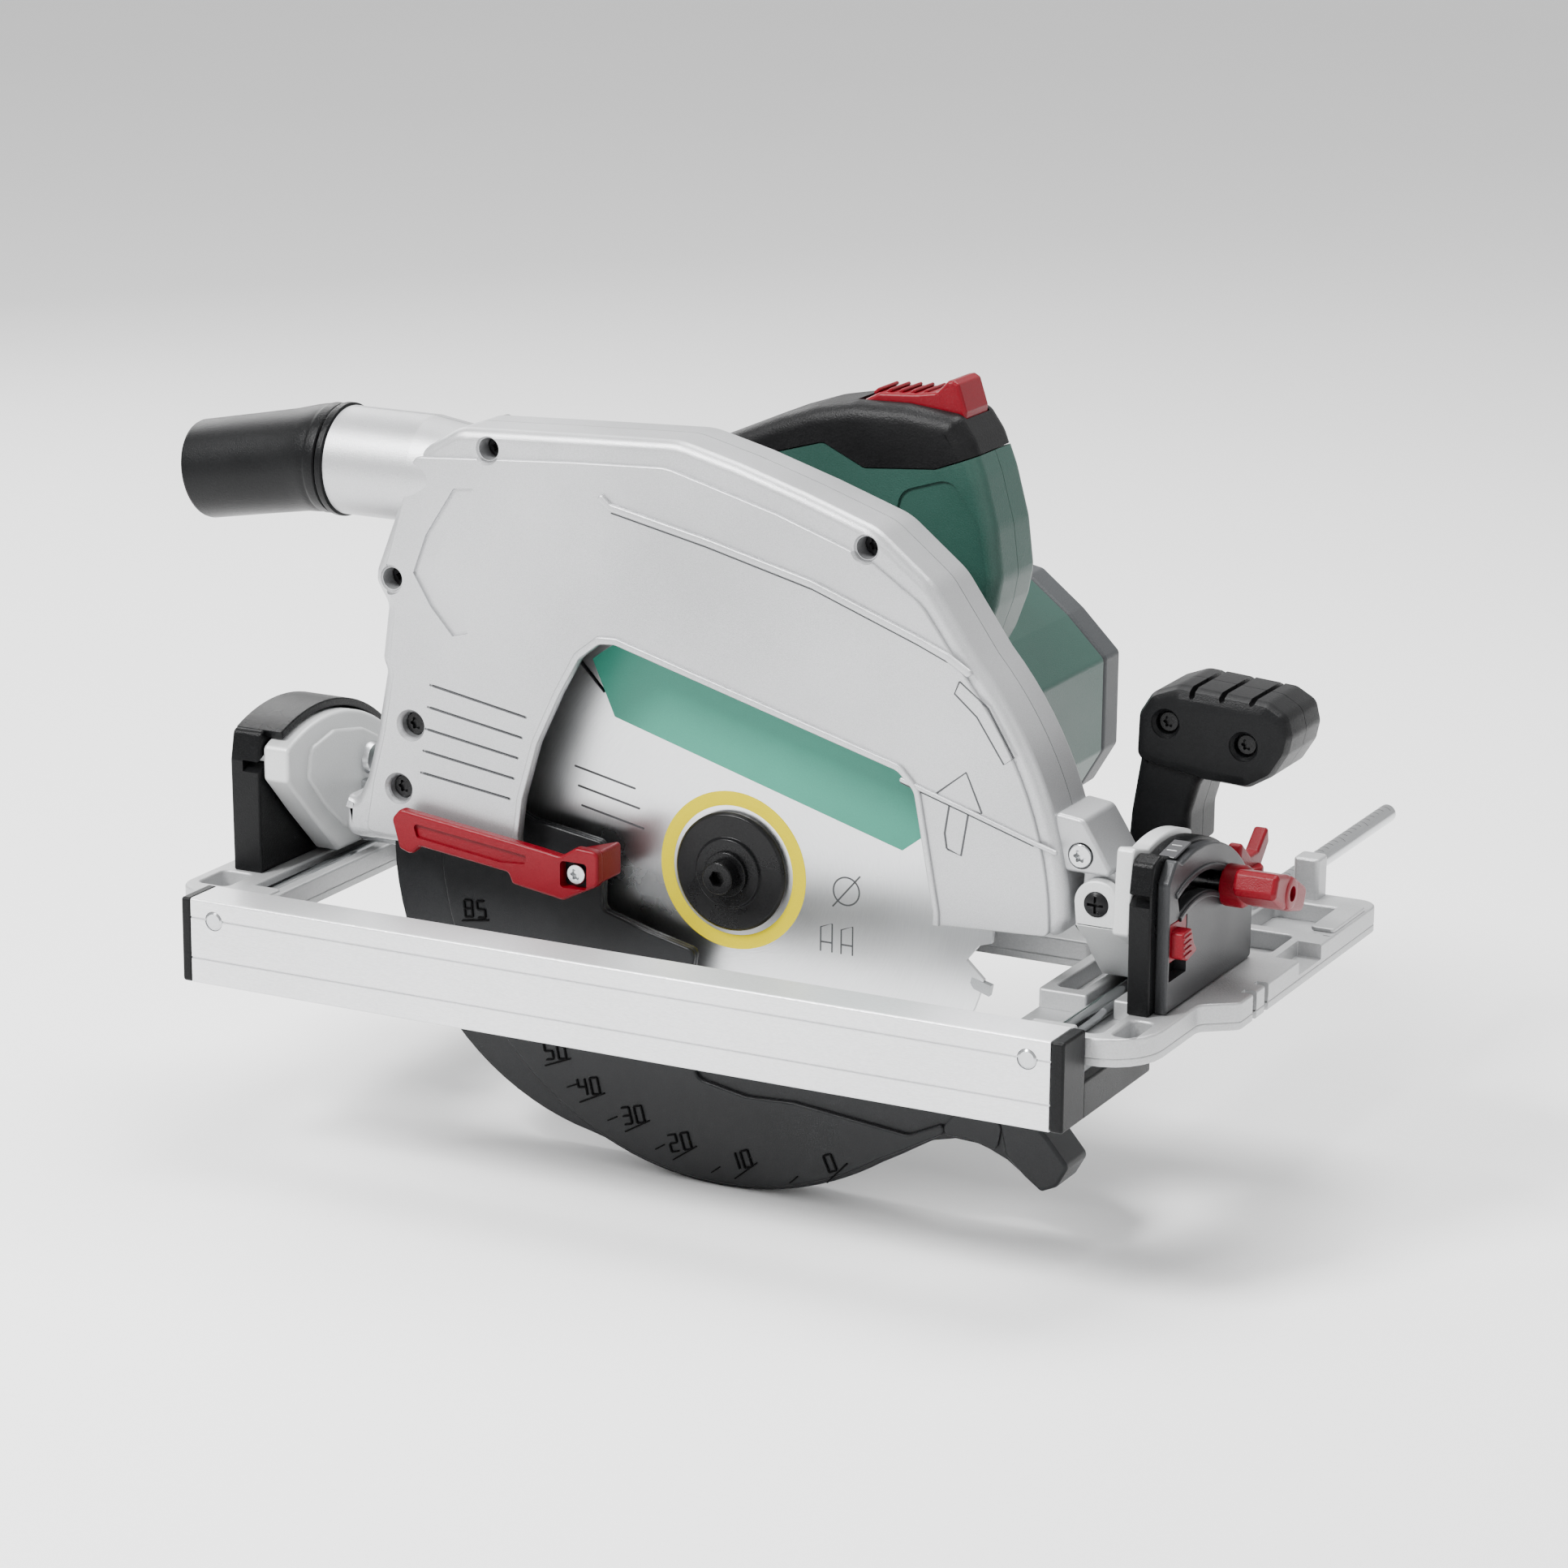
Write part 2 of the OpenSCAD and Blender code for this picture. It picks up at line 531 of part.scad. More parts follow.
// ---------- main handle ----------
handle_outer = [[66, 97.3], [77, 112], [84, 125], [89, 139], [91, 150], [88, 170], [82, 190],
    [77, 204], [71, 213], [26, 215], [-8, 206], [-40, 192], [-72, 178], [-86, 160], [-84, 148],
    [-66, 118], [-52, 104], [-38.5, 102.6], [-20.3, 119.4], [10, 125.5], [40.2, 119.5], [59.3, 104.4]];
finger_gap = [[-50, 133], [-20, 133.5], [10, 134.5], [28, 140], [34, 156], [30, 168], [14, 176],
    [-22, 170], [-54, 158], [-60, 146]];
// Region of the loop that is covered by the soft grip
grip_zone = [[100, 206], [79, 198], [63, 192], [32, 189.5], [14, 198], [-7, 192], [-12, 182],
    [-12, 166], [-40, 156], [-66, 156], [-78, 154], [-100, 164], [-100, 230], [100, 230]];
module handle_profile() difference() {
    polygon(rounded(handle_outer, 1));
    polygon(rounded(finger_gap, 4));
}
// Room for the switch, and the well that the trigger slides in
module switch_room() {
    block([8, handle_y - 11, 160], [58, handle_y + 11, 186.5]);
    block([40, handle_y - 11, 150], [60, handle_y + 11, 187]);
}
module handle_side(y0, y1) difference() {
    along_y(y0, y1) difference() {
        handle_profile();
        polygon(grip_zone);
    }
    switch_room();
    rod_x([handle_y, 138], 6.05, -100, -70);
    rod_x([handle_y, 138], 9.1, -100, -81.4);
}
module handle_near() color("seagreen") handle_side(handle_y - 19, handle_y);
module handle_far() color("seagreen") handle_side(handle_y, handle_y + 19);
module handle_grip() color("black") difference() {
    along_y(handle_y - 19.6, handle_y + 19.6) intersection() {
        handle_profile();
        polygon(grip_zone);
    }
    block([24.7, handle_y - 11.3, 204], [72.5, handle_y + 11.3, 222]);
}
module cord_inlet() color("black") difference() {
    union() {
        rod_x([handle_y, 138], 6, -78, -71);
        rod_x([handle_y, 138], 9, -91, -81.5);
        rod_x([handle_y, 138], 6, -85, -76);
    }
    rod_x([handle_y, 138], 4, -92, -70);
}
module switch_module() color("ivory") block([41, handle_y - 10.5, 151], [57.5, handle_y + 10.5, 186]);
module trigger() color("firebrick") along_y(handle_y - 9, handle_y + 9)
    polygon([[12, 164], [36, 162], [39, 170], [39, 180], [12, 180]]);
module lock_off_button() color("crimson") along_y(handle_y - 11, handle_y + 11)
    polygon([[27, 208], [72, 208], [72, 214], [68, 226], [64, 226], [58, 221], [32, 218], [27, 214]]);
module spindle_lock() color("black") {
    rod_y([-27, 60], 3, 37, 57);
    rod_y([-27, 60], 5, 33.8, 37.8);
}

// ---------- front auxiliary handle ----------
aux_outline = rounded([[154, 48.3], [175.6, 48.3], [175.6, 57], [182.5, 57],
    [182.5, 76], [188, 91], [206, 86],
    [224, 102], [226, 118], [218, 125], [172, 127], [158, 118], [153, 103], [155, 92], [152, 70]],
    [1, 0.5, 0.4, 1, 4, 4, 4, 4, 4, 4, 4, 4, 4, 4, 4]);
module aux_handle(y0, y1) difference() {
    along_y(y0, y1) polygon(aux_outline);
    for (p = [[171, 108], [203, 103]]) {
        rod_y(p, 2, grip_y - 25, grip_y + 25);
        rod_y(p, 4.2, grip_y - 25, grip_y - 11);
    }
    for (x = [182, 194, 206]) along_y(y0 - 1, y1 + 1)
        polygon([[x, 124.9], [x + 1, 124], [x + 2, 124.9], [x + 2, 130], [x, 130]]);
}
module aux_handle_near() color("black") aux_handle(grip_y - 19, grip_y);
module aux_handle_far() color("black") aux_handle(grip_y, grip_y + 19);
module aux_handle_screws() color("silver")
    for (p = [[171, 108], [203, 103]]) screw_y(p, 4, grip_y - 13.6, 2.6, 1.9, grip_y + 12);

// ---------- fence ----------
module fence_profile() color("gainsboro") difference() {
    union() {
        block([fence_x0, fence_near, fence_z0], [fence_x1, fence_back, fence_z1]);
        block([fence_x1 - 12, fence_back - 1, fence_z0], [fence_x1, -4, -6]);
        block([fence_x0, fence_back - 1, fence_z0], [fence_x0 + 34, -18, -6]);
    }
    for (z = [fence_z0 + 10.5, fence_z0 + 27.3])
        block([fence_x0 - 1, fence_near - 1, z - 0.4], [fence_x1 + 1, fence_near + 0.5, z + 0.4]);
    block([fence_x0 - 1, fence_near + 3, fence_z0 + 3], [fence_x1 + 1, fence_back - 3, fence_z0 + 20]);
    for (x = [front_rod_x, rear_rod_x]) rod_y([x, rod_z0], rod_d / 2, fence_near - 1, fence_back + 1);
}
module fence_caps() color("black") {
    block([fence_x0 - 4.5, fence_near, fence_z0], [fence_x0, fence_back, fence_z1]);
    block([fence_x0 - 4.5, fence_back - 0.1, fence_z0], [fence_x0, -18, -6]);
    block([fence_x1, fence_near, fence_z0], [fence_x1 + 5.5, fence_back, fence_z1]);
    block([fence_x1, fence_back - 0.1, fence_z0], [fence_x1 + 5.5, -4, -6]);
}
module guide_rods() color("silver") for (x = [front_rod_x, rear_rod_x])
    rod_y([x, rod_z0], rod_d / 2, fence_near - 0.3, rod_end_y);

// ---------- clamps and controls ----------
module rod_clamp(x) color("firebrick") {
    rod_zz([x, 128], 3, rod_z0 + rod_d / 2 + 0.2, 16);
    translate([x, 128, 15.4]) rotate([0, 0, 90]) {
        cylinder(r = 6.5, h = 10);
        translate([0, 0, 6]) rotate([90, 0, 0]) linear_extrude(6, center = true)
            polygon([[-6, 0], [6, 0], [16, 10], [15, 16], [4, 9], [-4, 9], [-15, 16], [-16, 10]]);
    }
}
module front_rod_clamp() rod_clamp(front_rod_x);
module rear_rod_clamp() rod_clamp(rear_rod_x);
module bevel_knob(s, x) color("firebrick") translate([x, bolt_y, bolt_z]) rotate([0, 90 * s, 0])
    rotate([0, 0, 20]) difference() {
    union() {
        cylinder(r = 8, h = 9);
        cylinder(r = 6.5, h = 27);
        translate([0, 0, 8.5]) linear_extrude(18) polygon(rounded([[-4.5, -17], [4.5, -17],
            [6, 0], [4.5, 17], [-4.5, 17], [-6, 0]], 2));
    }
    translate([0, 0, -1]) cylinder(r = 3.05, h = 29);
}
module front_bevel_knob() bevel_knob(1, quad_x1 + 0.4);
module rear_bevel_knob() bevel_knob(-1, rquad_x0 - 0.4);
module bevel_stop_slider() color("firebrick") union() {
    block([quad_x1 - 5.7, stop_y[0], stop_z[0] + 7], [quad_x1 - 0.2, stop_y[1], stop_z[1]]);
    along_x(quad_x1 - 1, quad_x1 + 5.5) polygon([[stop_y[0] + 1, 42], [stop_y[0] + 1, 33], [-21, 31.5],
        [-11.5, 33.5], [-16, 37], [-18, 43.5]]);
}
module depth_lock_lever() color("black") {
    difference() {
        union() {
            rod_y([-148.5, 31], 9, guide_y + 5.6, guide_y + 15);
            along_y(guide_y + 8, guide_y + 15) polygon(rounded([[-156, 26], [-141, 26], [-132, 84],
                [-142, 86]], 3));
        }
        rod_y([-148.5, 31], 3.05, guide_y, guide_y + 20);
    }
    rod_y([-148.5, 31], 3, 11.2, guide_y + 13);
}
bend = 10.3;
socket_depth = 40;
module dust_adapter() color("black") difference() {
    union() {
        rod_x([tube_y, tube_z], 22.5, -184, -174.3);
        translate([-183, tube_y, tube_z]) rotate([0, -90 - bend, 0]) {
            translate([0, 0, -2]) cylinder(r1 = 22.2, r2 = 20.8, h = 14);
            cylinder(r = 20.5, h = 60);
        }
    }
    rod_x([tube_y, tube_z], 19.6, -183, -170);
    translate([-183, tube_y, tube_z]) rotate([0, -90 - bend, 0]) {
        translate([0, 0, -8]) cylinder(r = 16.5, h = 70);
        translate([0, 0, 60 - socket_depth]) cylinder(r = 17.5, h = socket_depth + 1);
    }
}

base_plate();
front_quadrant();
rear_quadrant();
quadrant_screws();
front_sector();
rear_sector();
front_bracket();
pivot_screw();
depth_guide();
bevel_bolts();
upper_guard_near();
upper_guard_far();
dust_spout();
guard_screws();
lug_screw();
gear_case();
motor_housing();
motor_end_cap();
housing_screws();
handle_near();
handle_far();
handle_grip();
cord_inlet();
stator();
bearings();
brush_gear();
switch_module();
guard_spring();
aux_handle_near();
aux_handle_far();
aux_handle_screws();
lower_guard();
retract_lever();
lever_screw();
saw_blade();
carbide_tips();
inner_flange();
outer_flange();
blade_bolt();
spindle();
drive_gear();
rotor_shaft();
armature();
commutator();
cooling_fan();
fence_profile();
fence_caps();
guide_rods();
front_rod_clamp();
rear_rod_clamp();
front_bevel_knob();
rear_bevel_knob();
bevel_stop_slider();
depth_lock_lever();
trigger();
lock_off_button();
dust_adapter();
spindle_lock();
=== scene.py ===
"""Looks of a hand-held circular saw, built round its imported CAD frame.

Lengths are in mm until a mesh is made. Outlines are points across the plate's axis: (x, z) for a
plate along y, (y, z) along x and (x, y) along z.
"""
import json
import math

import bmesh
import bpy
from mathutils import Matrix, Vector


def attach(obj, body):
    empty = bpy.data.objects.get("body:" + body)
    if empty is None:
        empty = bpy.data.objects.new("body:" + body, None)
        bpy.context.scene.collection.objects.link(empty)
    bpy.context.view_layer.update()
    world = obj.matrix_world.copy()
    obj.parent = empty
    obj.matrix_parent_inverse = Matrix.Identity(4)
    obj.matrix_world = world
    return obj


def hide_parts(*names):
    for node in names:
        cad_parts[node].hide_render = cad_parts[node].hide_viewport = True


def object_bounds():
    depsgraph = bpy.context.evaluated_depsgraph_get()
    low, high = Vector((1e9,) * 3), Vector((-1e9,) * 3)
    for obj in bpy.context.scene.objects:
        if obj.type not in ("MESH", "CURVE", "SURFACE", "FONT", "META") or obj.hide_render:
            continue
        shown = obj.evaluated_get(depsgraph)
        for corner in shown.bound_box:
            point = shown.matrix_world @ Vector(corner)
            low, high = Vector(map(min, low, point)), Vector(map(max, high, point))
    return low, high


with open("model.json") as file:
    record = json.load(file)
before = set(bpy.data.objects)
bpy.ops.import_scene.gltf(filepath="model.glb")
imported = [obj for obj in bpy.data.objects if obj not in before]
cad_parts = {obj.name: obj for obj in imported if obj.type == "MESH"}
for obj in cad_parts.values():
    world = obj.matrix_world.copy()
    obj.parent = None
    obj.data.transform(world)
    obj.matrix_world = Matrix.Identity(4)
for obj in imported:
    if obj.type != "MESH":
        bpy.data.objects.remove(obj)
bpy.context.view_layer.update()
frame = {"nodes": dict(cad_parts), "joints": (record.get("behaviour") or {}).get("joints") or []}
MM = 0.001
NODES = frame["nodes"]


# ---------- camera ----------
def look():
    """The camera that takes the photo's view."""
    az, el, roll = (math.radians(v) for v in (27.08, 15.41, -0.51))
    right = Vector((math.cos(az), math.sin(az), 0))
    fwd = Vector((-math.sin(az) * math.cos(el), math.cos(az) * math.cos(el), -math.sin(el)))
    down = fwd.cross(right)
    r = math.cos(roll) * right + math.sin(roll) * down
    d = -math.sin(roll) * right + math.cos(roll) * down
    cam = bpy.data.cameras.new("camera")
    cam.lens = 109.05
    cam.clip_end = 20
    ob = bpy.data.objects.new("camera", cam)
    bpy.context.scene.collection.objects.link(ob)
    place = Matrix.Translation((0.83755, -1.59569, 0.56452))
    ob.matrix_world = place @ Matrix((r, -d, -fwd)).transposed().to_4x4()
    bpy.context.scene.camera = ob


look()


# ---------- places from the frame ----------
def joint_place(name, first=0):
    """Where a joint's axis crosses its plane, in mm: (x, z), or (y, z) with first=1."""
    at = next(j["pos_m"] for j in frame["joints"] if j["name"] == name)
    return round(at[first] / MM, 6), round(at[2] / MM, 6)


ARBOR = joint_place("blade_spin")
PIVOT = joint_place("depth_swing")
MOTOR = joint_place("rotor_spin")
BOLT = joint_place("front_knob_turn", 1)
TUBE = joint_place("dust_elbow_turn", 1)
RODS = [joint_place("front_clamp_turn")[0], joint_place("rear_clamp_turn")[0]]
ROD_Z = 6.3
BLADE_FACE = -1.0  # y of the blade's near face


def paint(looks):
    """Gives CAD nodes that stay in view their materials."""
    for node, look_of in looks:
        NODES[node].data.materials.clear()
        NODES[node].data.materials.append(look_of)


# ---------- outlines ----------
def arc(c, r, a0, a1, n=24):
    """Points on an arc about c, from a0 to a1 degrees."""
    return [(c[0] + r * math.cos(math.radians(a0 + (a1 - a0) * i / n)), c[1] +
            r * math.sin(math.radians(a0 + (a1 - a0) * i / n))) for i in range(n + 1)]


def ring_part(c, r0, r1, a0, a1, n=24):
    """The outline between radii r0 and r1, from a0 to a1 degrees."""
    return arc(c, r0, a0, a1, n) + arc(c, r1, a1, a0, n)


def rounded(pts, radius, n=6):
    """The outline with each corner turned into an arc. radius is one value, or one for each corner."""
    out, count = [], len(pts)
    for i, b in enumerate(pts):
        r = radius[i] if isinstance(radius, (list, tuple)) else radius
        a, b, c = (Vector(p) for p in (pts[i - 1], b, pts[(i + 1) % count]))
        u, w = a - b, c - b
        lu, lw = u.length, w.length
        if r <= 0 or lu < 1e-6 or lw < 1e-6:
            out.append(tuple(b))
            continue
        u, w = u / lu, w / lw
        half = math.acos(max(-1, min(1, u.dot(w)))) / 2
        if math.degrees(half) > 87:
            out.append(tuple(b))
            continue
        d = min(r / math.tan(half), 0.45 * lu, 0.45 * lw)
        rr = d * math.tan(half)
        m = b + (u + w).normalized() * rr / math.sin(half)
        p, q = b + u * d - m, b + w * d - m
        a0 = math.atan2(p.y, p.x)
        da = (math.atan2(q.y, q.x) - a0 + math.pi) % (2 * math.pi) - math.pi
        out += [(m.x + rr * math.cos(a0 + da * k / n), m.y + rr * math.sin(a0 + da * k / n))
            for k in range(n + 1)]
    return out


def area(p):
    return sum(p[i - 1][0] * p[i][1] - p[i][0] * p[i - 1][1] for i in range(len(p))) / 2


def ccw(p):
    return list(p) if area(p) > 0 else list(reversed(p))


def inset(p, d):
    """The outline moved inwards by d."""
    p, out = ccw(p), []
    for i in range(len(p)):
        a, b, c = (Vector(q) for q in (p[i - 1], p[i], p[(i + 1) % len(p)]))
        e, f = (b - a).normalized(), (c - b).normalized()
        n1, n2 = Vector((-e.y, e.x)), Vector((-f.y, f.x))
        out.append(tuple(b + (n1 + n2) * d / (1 + n1.dot(n2))))
    return out


def ribbon(line, w, ends=True):
    """The outline of a line of width w."""
    left, right = [], []
    for i, p in enumerate(line):
        a = Vector(line[max(i - 1, 0)])
        c = Vector(line[min(i + 1, len(line) - 1)])
        t = (c - a).normalized()
        nrm = Vector((-t.y, t.x)) * w / 2
        left.append(tuple(Vector(p) + nrm))
        right.append(tuple(Vector(p) - nrm))
    return rounded(right + left[::-1], w * 0.45 if ends else 0, 4)


def rect(x0, z0, x1, z1, r=0, n=6):
    p = [(x0, z0), (x1, z0), (x1, z1), (x0, z1)]
    return rounded(p, r, n) if r else p


# ---------- meshes ----------
PLANES = {"y": Matrix(((1, 0, 0), (0, 0, -1), (0, 1, 0))),
    "x": Matrix(((0, 0, 1), (1, 0, 0), (0, 1, 0))), "z": Matrix.Identity(3)}


def evaluated(ob):
    """The finished mesh of an object, which is then removed."""
    dg = bpy.context.evaluated_depsgraph_get()
    me = bpy.data.meshes.new_from_object(ob.evaluated_get(dg))
    data = ob.data
    bpy.data.objects.remove(ob)
    if isinstance(data, bpy.types.Curve):
        bpy.data.curves.remove(data)
    return me


def temp(data):
    ob = bpy.data.objects.new("temp", data)
    bpy.context.scene.collection.objects.link(ob)
    return ob


def weld(me, dist=2e-6):
    """Joins points that meet, and turns every face outwards."""
    bm = bmesh.new()
    bm.from_mesh(me)
    bmesh.ops.remove_doubles(bm, verts=bm.verts, dist=dist)
    bmesh.ops.dissolve_degenerate(bm, dist=dist / 2, edges=bm.edges)
    bmesh.ops.recalc_face_normals(bm, faces=bm.faces)
    bm.to_mesh(me)
    bm.free()
    return me


def plate(loops, a, b, axis="y", bevel=0.6, res=3):
    """A slab between a and b along axis, with rounded edges: an outline, then any holes."""
    cu = bpy.data.curves.new("temp", "CURVE")
    cu.dimensions, cu.fill_mode = "2D", "BOTH"
    e = min(bevel, (b - a) * 0.49)
    cu.extrude, cu.bevel_depth, cu.bevel_resolution, cu.offset = (b - a) / 2 - e, e, res, -e
    for i, loop in enumerate(loops):
        loop = ccw(loop)
        if i:
            loop = loop[::-1]
        sp = cu.splines.new("POLY")
        sp.points.add(len(loop) - 1)
        for q, p in zip(sp.points, loop):
            q.co = (p[0], p[1], 0, 1)
        sp.use_cyclic_u = True
    me = evaluated(temp(cu))
    mid = (a + b) / 2 if axis != "y" else -(a + b) / 2
    me.transform((PLANES[axis].to_4x4() @ Matrix.Translation((0, 0, mid))))
    me.transform(Matrix.Scale(MM, 4))
    return weld(me)


def cut(loops, a, b, axis="y"):
    """A plate with sharp edges, for cutting with or for print."""
    return plate(loops, a, b, axis, 0)


def slab(points, radius, a, b, axis="y", bevel=0.6, res=3):
    """A plate whose one outline has its corners rounded to radius."""
    return plate([rounded(points, radius)], a, b, axis, bevel, res)


def strip(line, width, a, b, axis="y", bevel=0.6, res=3):
    """A plate in the shape of a line of the given width."""
    return plate([ribbon(line, width)], a, b, axis, bevel, res)


def lathe(profile, c, axis="y", n=64, closed=True):
    """Turns (radius, place along axis) points about an axis through c."""
    bm, rings = bmesh.new(), []
    for r, t in profile:
        ring = []
        for i in range(n if r > 1e-6 else 1):
            u, v = r * math.cos(2 * math.pi * i / n), r * math.sin(2 * math.pi * i / n)
            co = {"y": (c[0] + u, t, c[1] + v), "x": (t, c[0] + u, c[1] + v),
                "z": (c[0] + u, c[1] + v, t)}[axis]
            ring.append(bm.verts.new(Vector(co) * MM))
        rings.append(ring)
    pairs = list(zip(rings, rings[1:])) + ([(rings[-1], rings[0])] if closed else [])
    for p, q in pairs:
        for i in range(n):
            j = (i + 1) % n
            vs = [p[i % len(p)], p[j % len(p)], q[j % len(q)], q[i % len(q)]]
            vs = [v for k, v in enumerate(vs) if v not in vs[:k]]
            if len(vs) > 2:
                bm.faces.new(vs)
    me = bpy.data.meshes.new("temp")
    bmesh.ops.recalc_face_normals(bm, faces=bm.faces)
    bm.to_mesh(me)
    bm.free()
    return me


def disc(r, t0, t1, c, axis="y", edge=0.4, n=64, bore=0):
    """A round plate from t0 to t1 along axis, with an optional bore."""
    if bore:
        return lathe(rounded([(r, t0), (r, t1), (bore, t1), (bore, t0)], edge, 3), c, axis, n)
    return lathe(rounded([(0, t0), (r, t0), (r, t1), (0, t1)], [0, edge, edge, 0], 3), c, axis, n, False)


def loft(rings, caps=True):
    """A skin through rings of points."""
    bm = bmesh.new()
    vr = [[bm.verts.new(Vector(p) * MM) for p in ring] for ring in rings]
    for p, q in zip(vr, vr[1:]):
        for i in range(len(p)):
            j = (i + 1) % len(p)
            bm.faces.new((p[i], p[j], q[j], q[i]))
    if caps:
        bm.faces.new(vr[0][::-1])
        bm.faces.new(vr[-1])
    me = bpy.data.meshes.new("temp")
    bmesh.ops.recalc_face_normals(bm, faces=bm.faces)
    bm.to_mesh(me)
    bm.free()
    return me


def block(a, b, bevel=0.5, seg=3):
    """A box between two corners."""
    bm = bmesh.new()
    bmesh.ops.create_cube(bm, size=1)
    a, b = Vector(a), Vector(b)
    for v in bm.verts:
        v.co = Vector([a[i] + (b[i] - a[i]) * (v.co[i] + 0.5) for i in range(3)]) * MM
    if bevel:
        bmesh.ops.bevel(bm, geom=bm.edges, offset=bevel * MM, segments=seg, affect="EDGES", profile=0.5)
    me = bpy.data.meshes.new("temp")
    bm.to_mesh(me)
    bm.free()
    return me


def combine(a, b, how="DIFFERENCE"):
    """One mesh from two closed ones, by an exact boolean."""
    oa, ob = temp(a), temp(b)
    mod = oa.modifiers.new("m", "BOOLEAN")
    mod.operation, mod.object, mod.solver = how, ob, "EXACT"
    bpy.context.view_layer.update()
    me = evaluated(oa)
    bpy.data.objects.remove(ob)
    return me


def minus(a, *cutters):
    for c in cutters:
        a = combine(a, c)
    return a


def joined(*meshes):
    """All the meshes as one, without a boolean."""
    bm = bmesh.new()
    for me in meshes:
        bm.from_mesh(me)
    out = bpy.data.meshes.new("temp")
    bm.to_mesh(out)
    bm.free()
    return out


def carve(parts, *cutters):
    """The parts as one mesh, each with every cutter taken out of it."""
    return joined(*[minus(p, *cutters) for p in parts])


def moved(me, matrix):
    me = me.copy()
    me.transform(matrix)
    return me


def turned(me, axis, degrees, about):
    about = Vector(about) * MM
    turn = Matrix.Rotation(math.radians(degrees), 4, axis)
    return moved(me, Matrix.Translation(about) @ turn @ Matrix.Translation(-about))


def piece(name, me, mat, body, nodes=(), angle=32):
    """A visible piece that rides on a body and stands in for its CAD nodes."""
    me.name = name
    me.materials.clear()
    me.materials.append(mat)
    for p in me.polygons:
        p.use_smooth = True
        p.material_index = 0
    me.set_sharp_from_angle(angle=math.radians(angle))
    ob = bpy.data.objects.new(name, me)
    bpy.context.scene.collection.objects.link(ob)
    mod = ob.modifiers.new("normals", "WEIGHTED_NORMAL")
    mod.keep_sharp = True
    mod.weight = 80
    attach(ob, body)
    if nodes:
        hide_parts(*nodes)
    return ob


# ---------- materials ----------
def add_node(nt, kind, **values):
    """Adds a shader node. The values are its inputs by name, with _ for a space."""
    made = nt.nodes.new("ShaderNode" + kind)
    for key, value in values.items():
        made.inputs[key.replace("_", " ")].default_value = value
    return made


def material(name, base, metal=0.0, rough=0.5, grain=900, bump=0.05, tint=0.04, patch=14, spread=0.06,
             stretch=(1, 1, 1), specular=0.5):
    """Paint, plastic or metal with fine grain, patchy gloss and slow colour drift."""
    m = bpy.data.materials.new(name)
    m.use_nodes = True
    nt = m.node_tree
    link = nt.links.new
    bsdf = nt.nodes["Principled BSDF"]
    bsdf.inputs["Metallic"].default_value = metal
    bsdf.inputs["Specular IOR Level"].default_value = specular
    coord = add_node(nt, "TexCoord")
    mapping = add_node(nt, "Mapping", Scale=stretch)
    link(coord.outputs["Object"], mapping.inputs["Vector"])
    fine = add_node(nt, "TexNoise", Scale=grain, Detail=3, Roughness=0.6)
    link(mapping.outputs["Vector"], fine.inputs["Vector"])
    slow = add_node(nt, "TexNoise", Scale=patch, Detail=5)
    link(coord.outputs["Object"], slow.inputs["Vector"])
    bump_node = add_node(nt, "Bump", Strength=min(1.0, bump * 6), Distance=0.00035)
    link(fine.outputs["Fac"], bump_node.inputs["Height"])
    link(bump_node.outputs["Normal"], bsdf.inputs["Normal"])
    ramp = add_node(nt, "MapRange", To_Min=max(0.03, rough - spread), To_Max=min(1.0, rough + spread),
        From_Min=0.3, From_Max=0.7)
    link(slow.outputs["Fac"], ramp.inputs["Value"])
    link(ramp.outputs["Result"], bsdf.inputs["Roughness"])
    both = add_node(nt, "Math")
    both.operation = "ADD"
    half = add_node(nt, "Math")
    half.operation = "MULTIPLY"
    half.inputs[1].default_value = 0.5
    link(fine.outputs["Fac"], both.inputs[0])
    link(slow.outputs["Fac"], both.inputs[1])
    link(both.outputs[0], half.inputs[0])
    colours = add_node(nt, "ValToRGB")
    e = colours.color_ramp.elements
    e[0].position, e[1].position = 0.34, 0.66
    e[0].color = [max(0.0, c * (1 - tint * 1.6)) for c in base] + [1]
    e[1].color = [min(1.0, c * (1 + tint) + tint * 0.02) for c in base] + [1]
    link(half.outputs[0], colours.inputs["Fac"])
    link(colours.outputs["Color"], bsdf.inputs["Base Color"])
    return m


silver = material("silver_paint", (0.50, 0.505, 0.515), 0.7, 0.38, 2600, 0.05, 0.16, 9, 0.06)
# A darker copy of the silver paint: painted shade for the guard's far half and the gear case.
silver_painted_shade = material("silver_paint_with_painted_shade", (0.45, 0.455, 0.465), 0.7, 0.42, 2600, 0.045, 0.14, 9, 0.06)
cast = material("cast_aluminium", (0.46, 0.465, 0.47), 0.6, 0.46, 1300, 0.07, 0.09, 22, 0.07)
extruded = material("aluminium_extrusion", (0.76, 0.765, 0.775), 0.6, 0.38, 2400, 0.05, 0.09, 8, 0.04,
    stretch=(0.25, 1, 1))
light_cast = material("light_casting", (0.60, 0.61, 0.61), 0.3, 0.46, 1800, 0.05, 0.07, 20, 0.06)
dark_cast = material("dark_casting", (0.028, 0.029, 0.031), 0.2, 0.36, 1900, 0.05, 0.14, 25, 0.07,
    specular=0.3)
guard_paint = material("guard_paint", (0.012, 0.0125, 0.0135), 0.1, 0.34, 2000, 0.05, 0.14, 15, 0.06,
    specular=0.22)
steel = material("brushed_steel", (0.56, 0.57, 0.58), 1.0, 0.30, 1500, 0.03, 0.08, 30, 0.06)
chrome = material("polished_steel", (0.50, 0.51, 0.52), 1.0, 0.16, 900, 0.012, 0.05, 30, 0.05,
    stretch=(1, 0.05, 1))
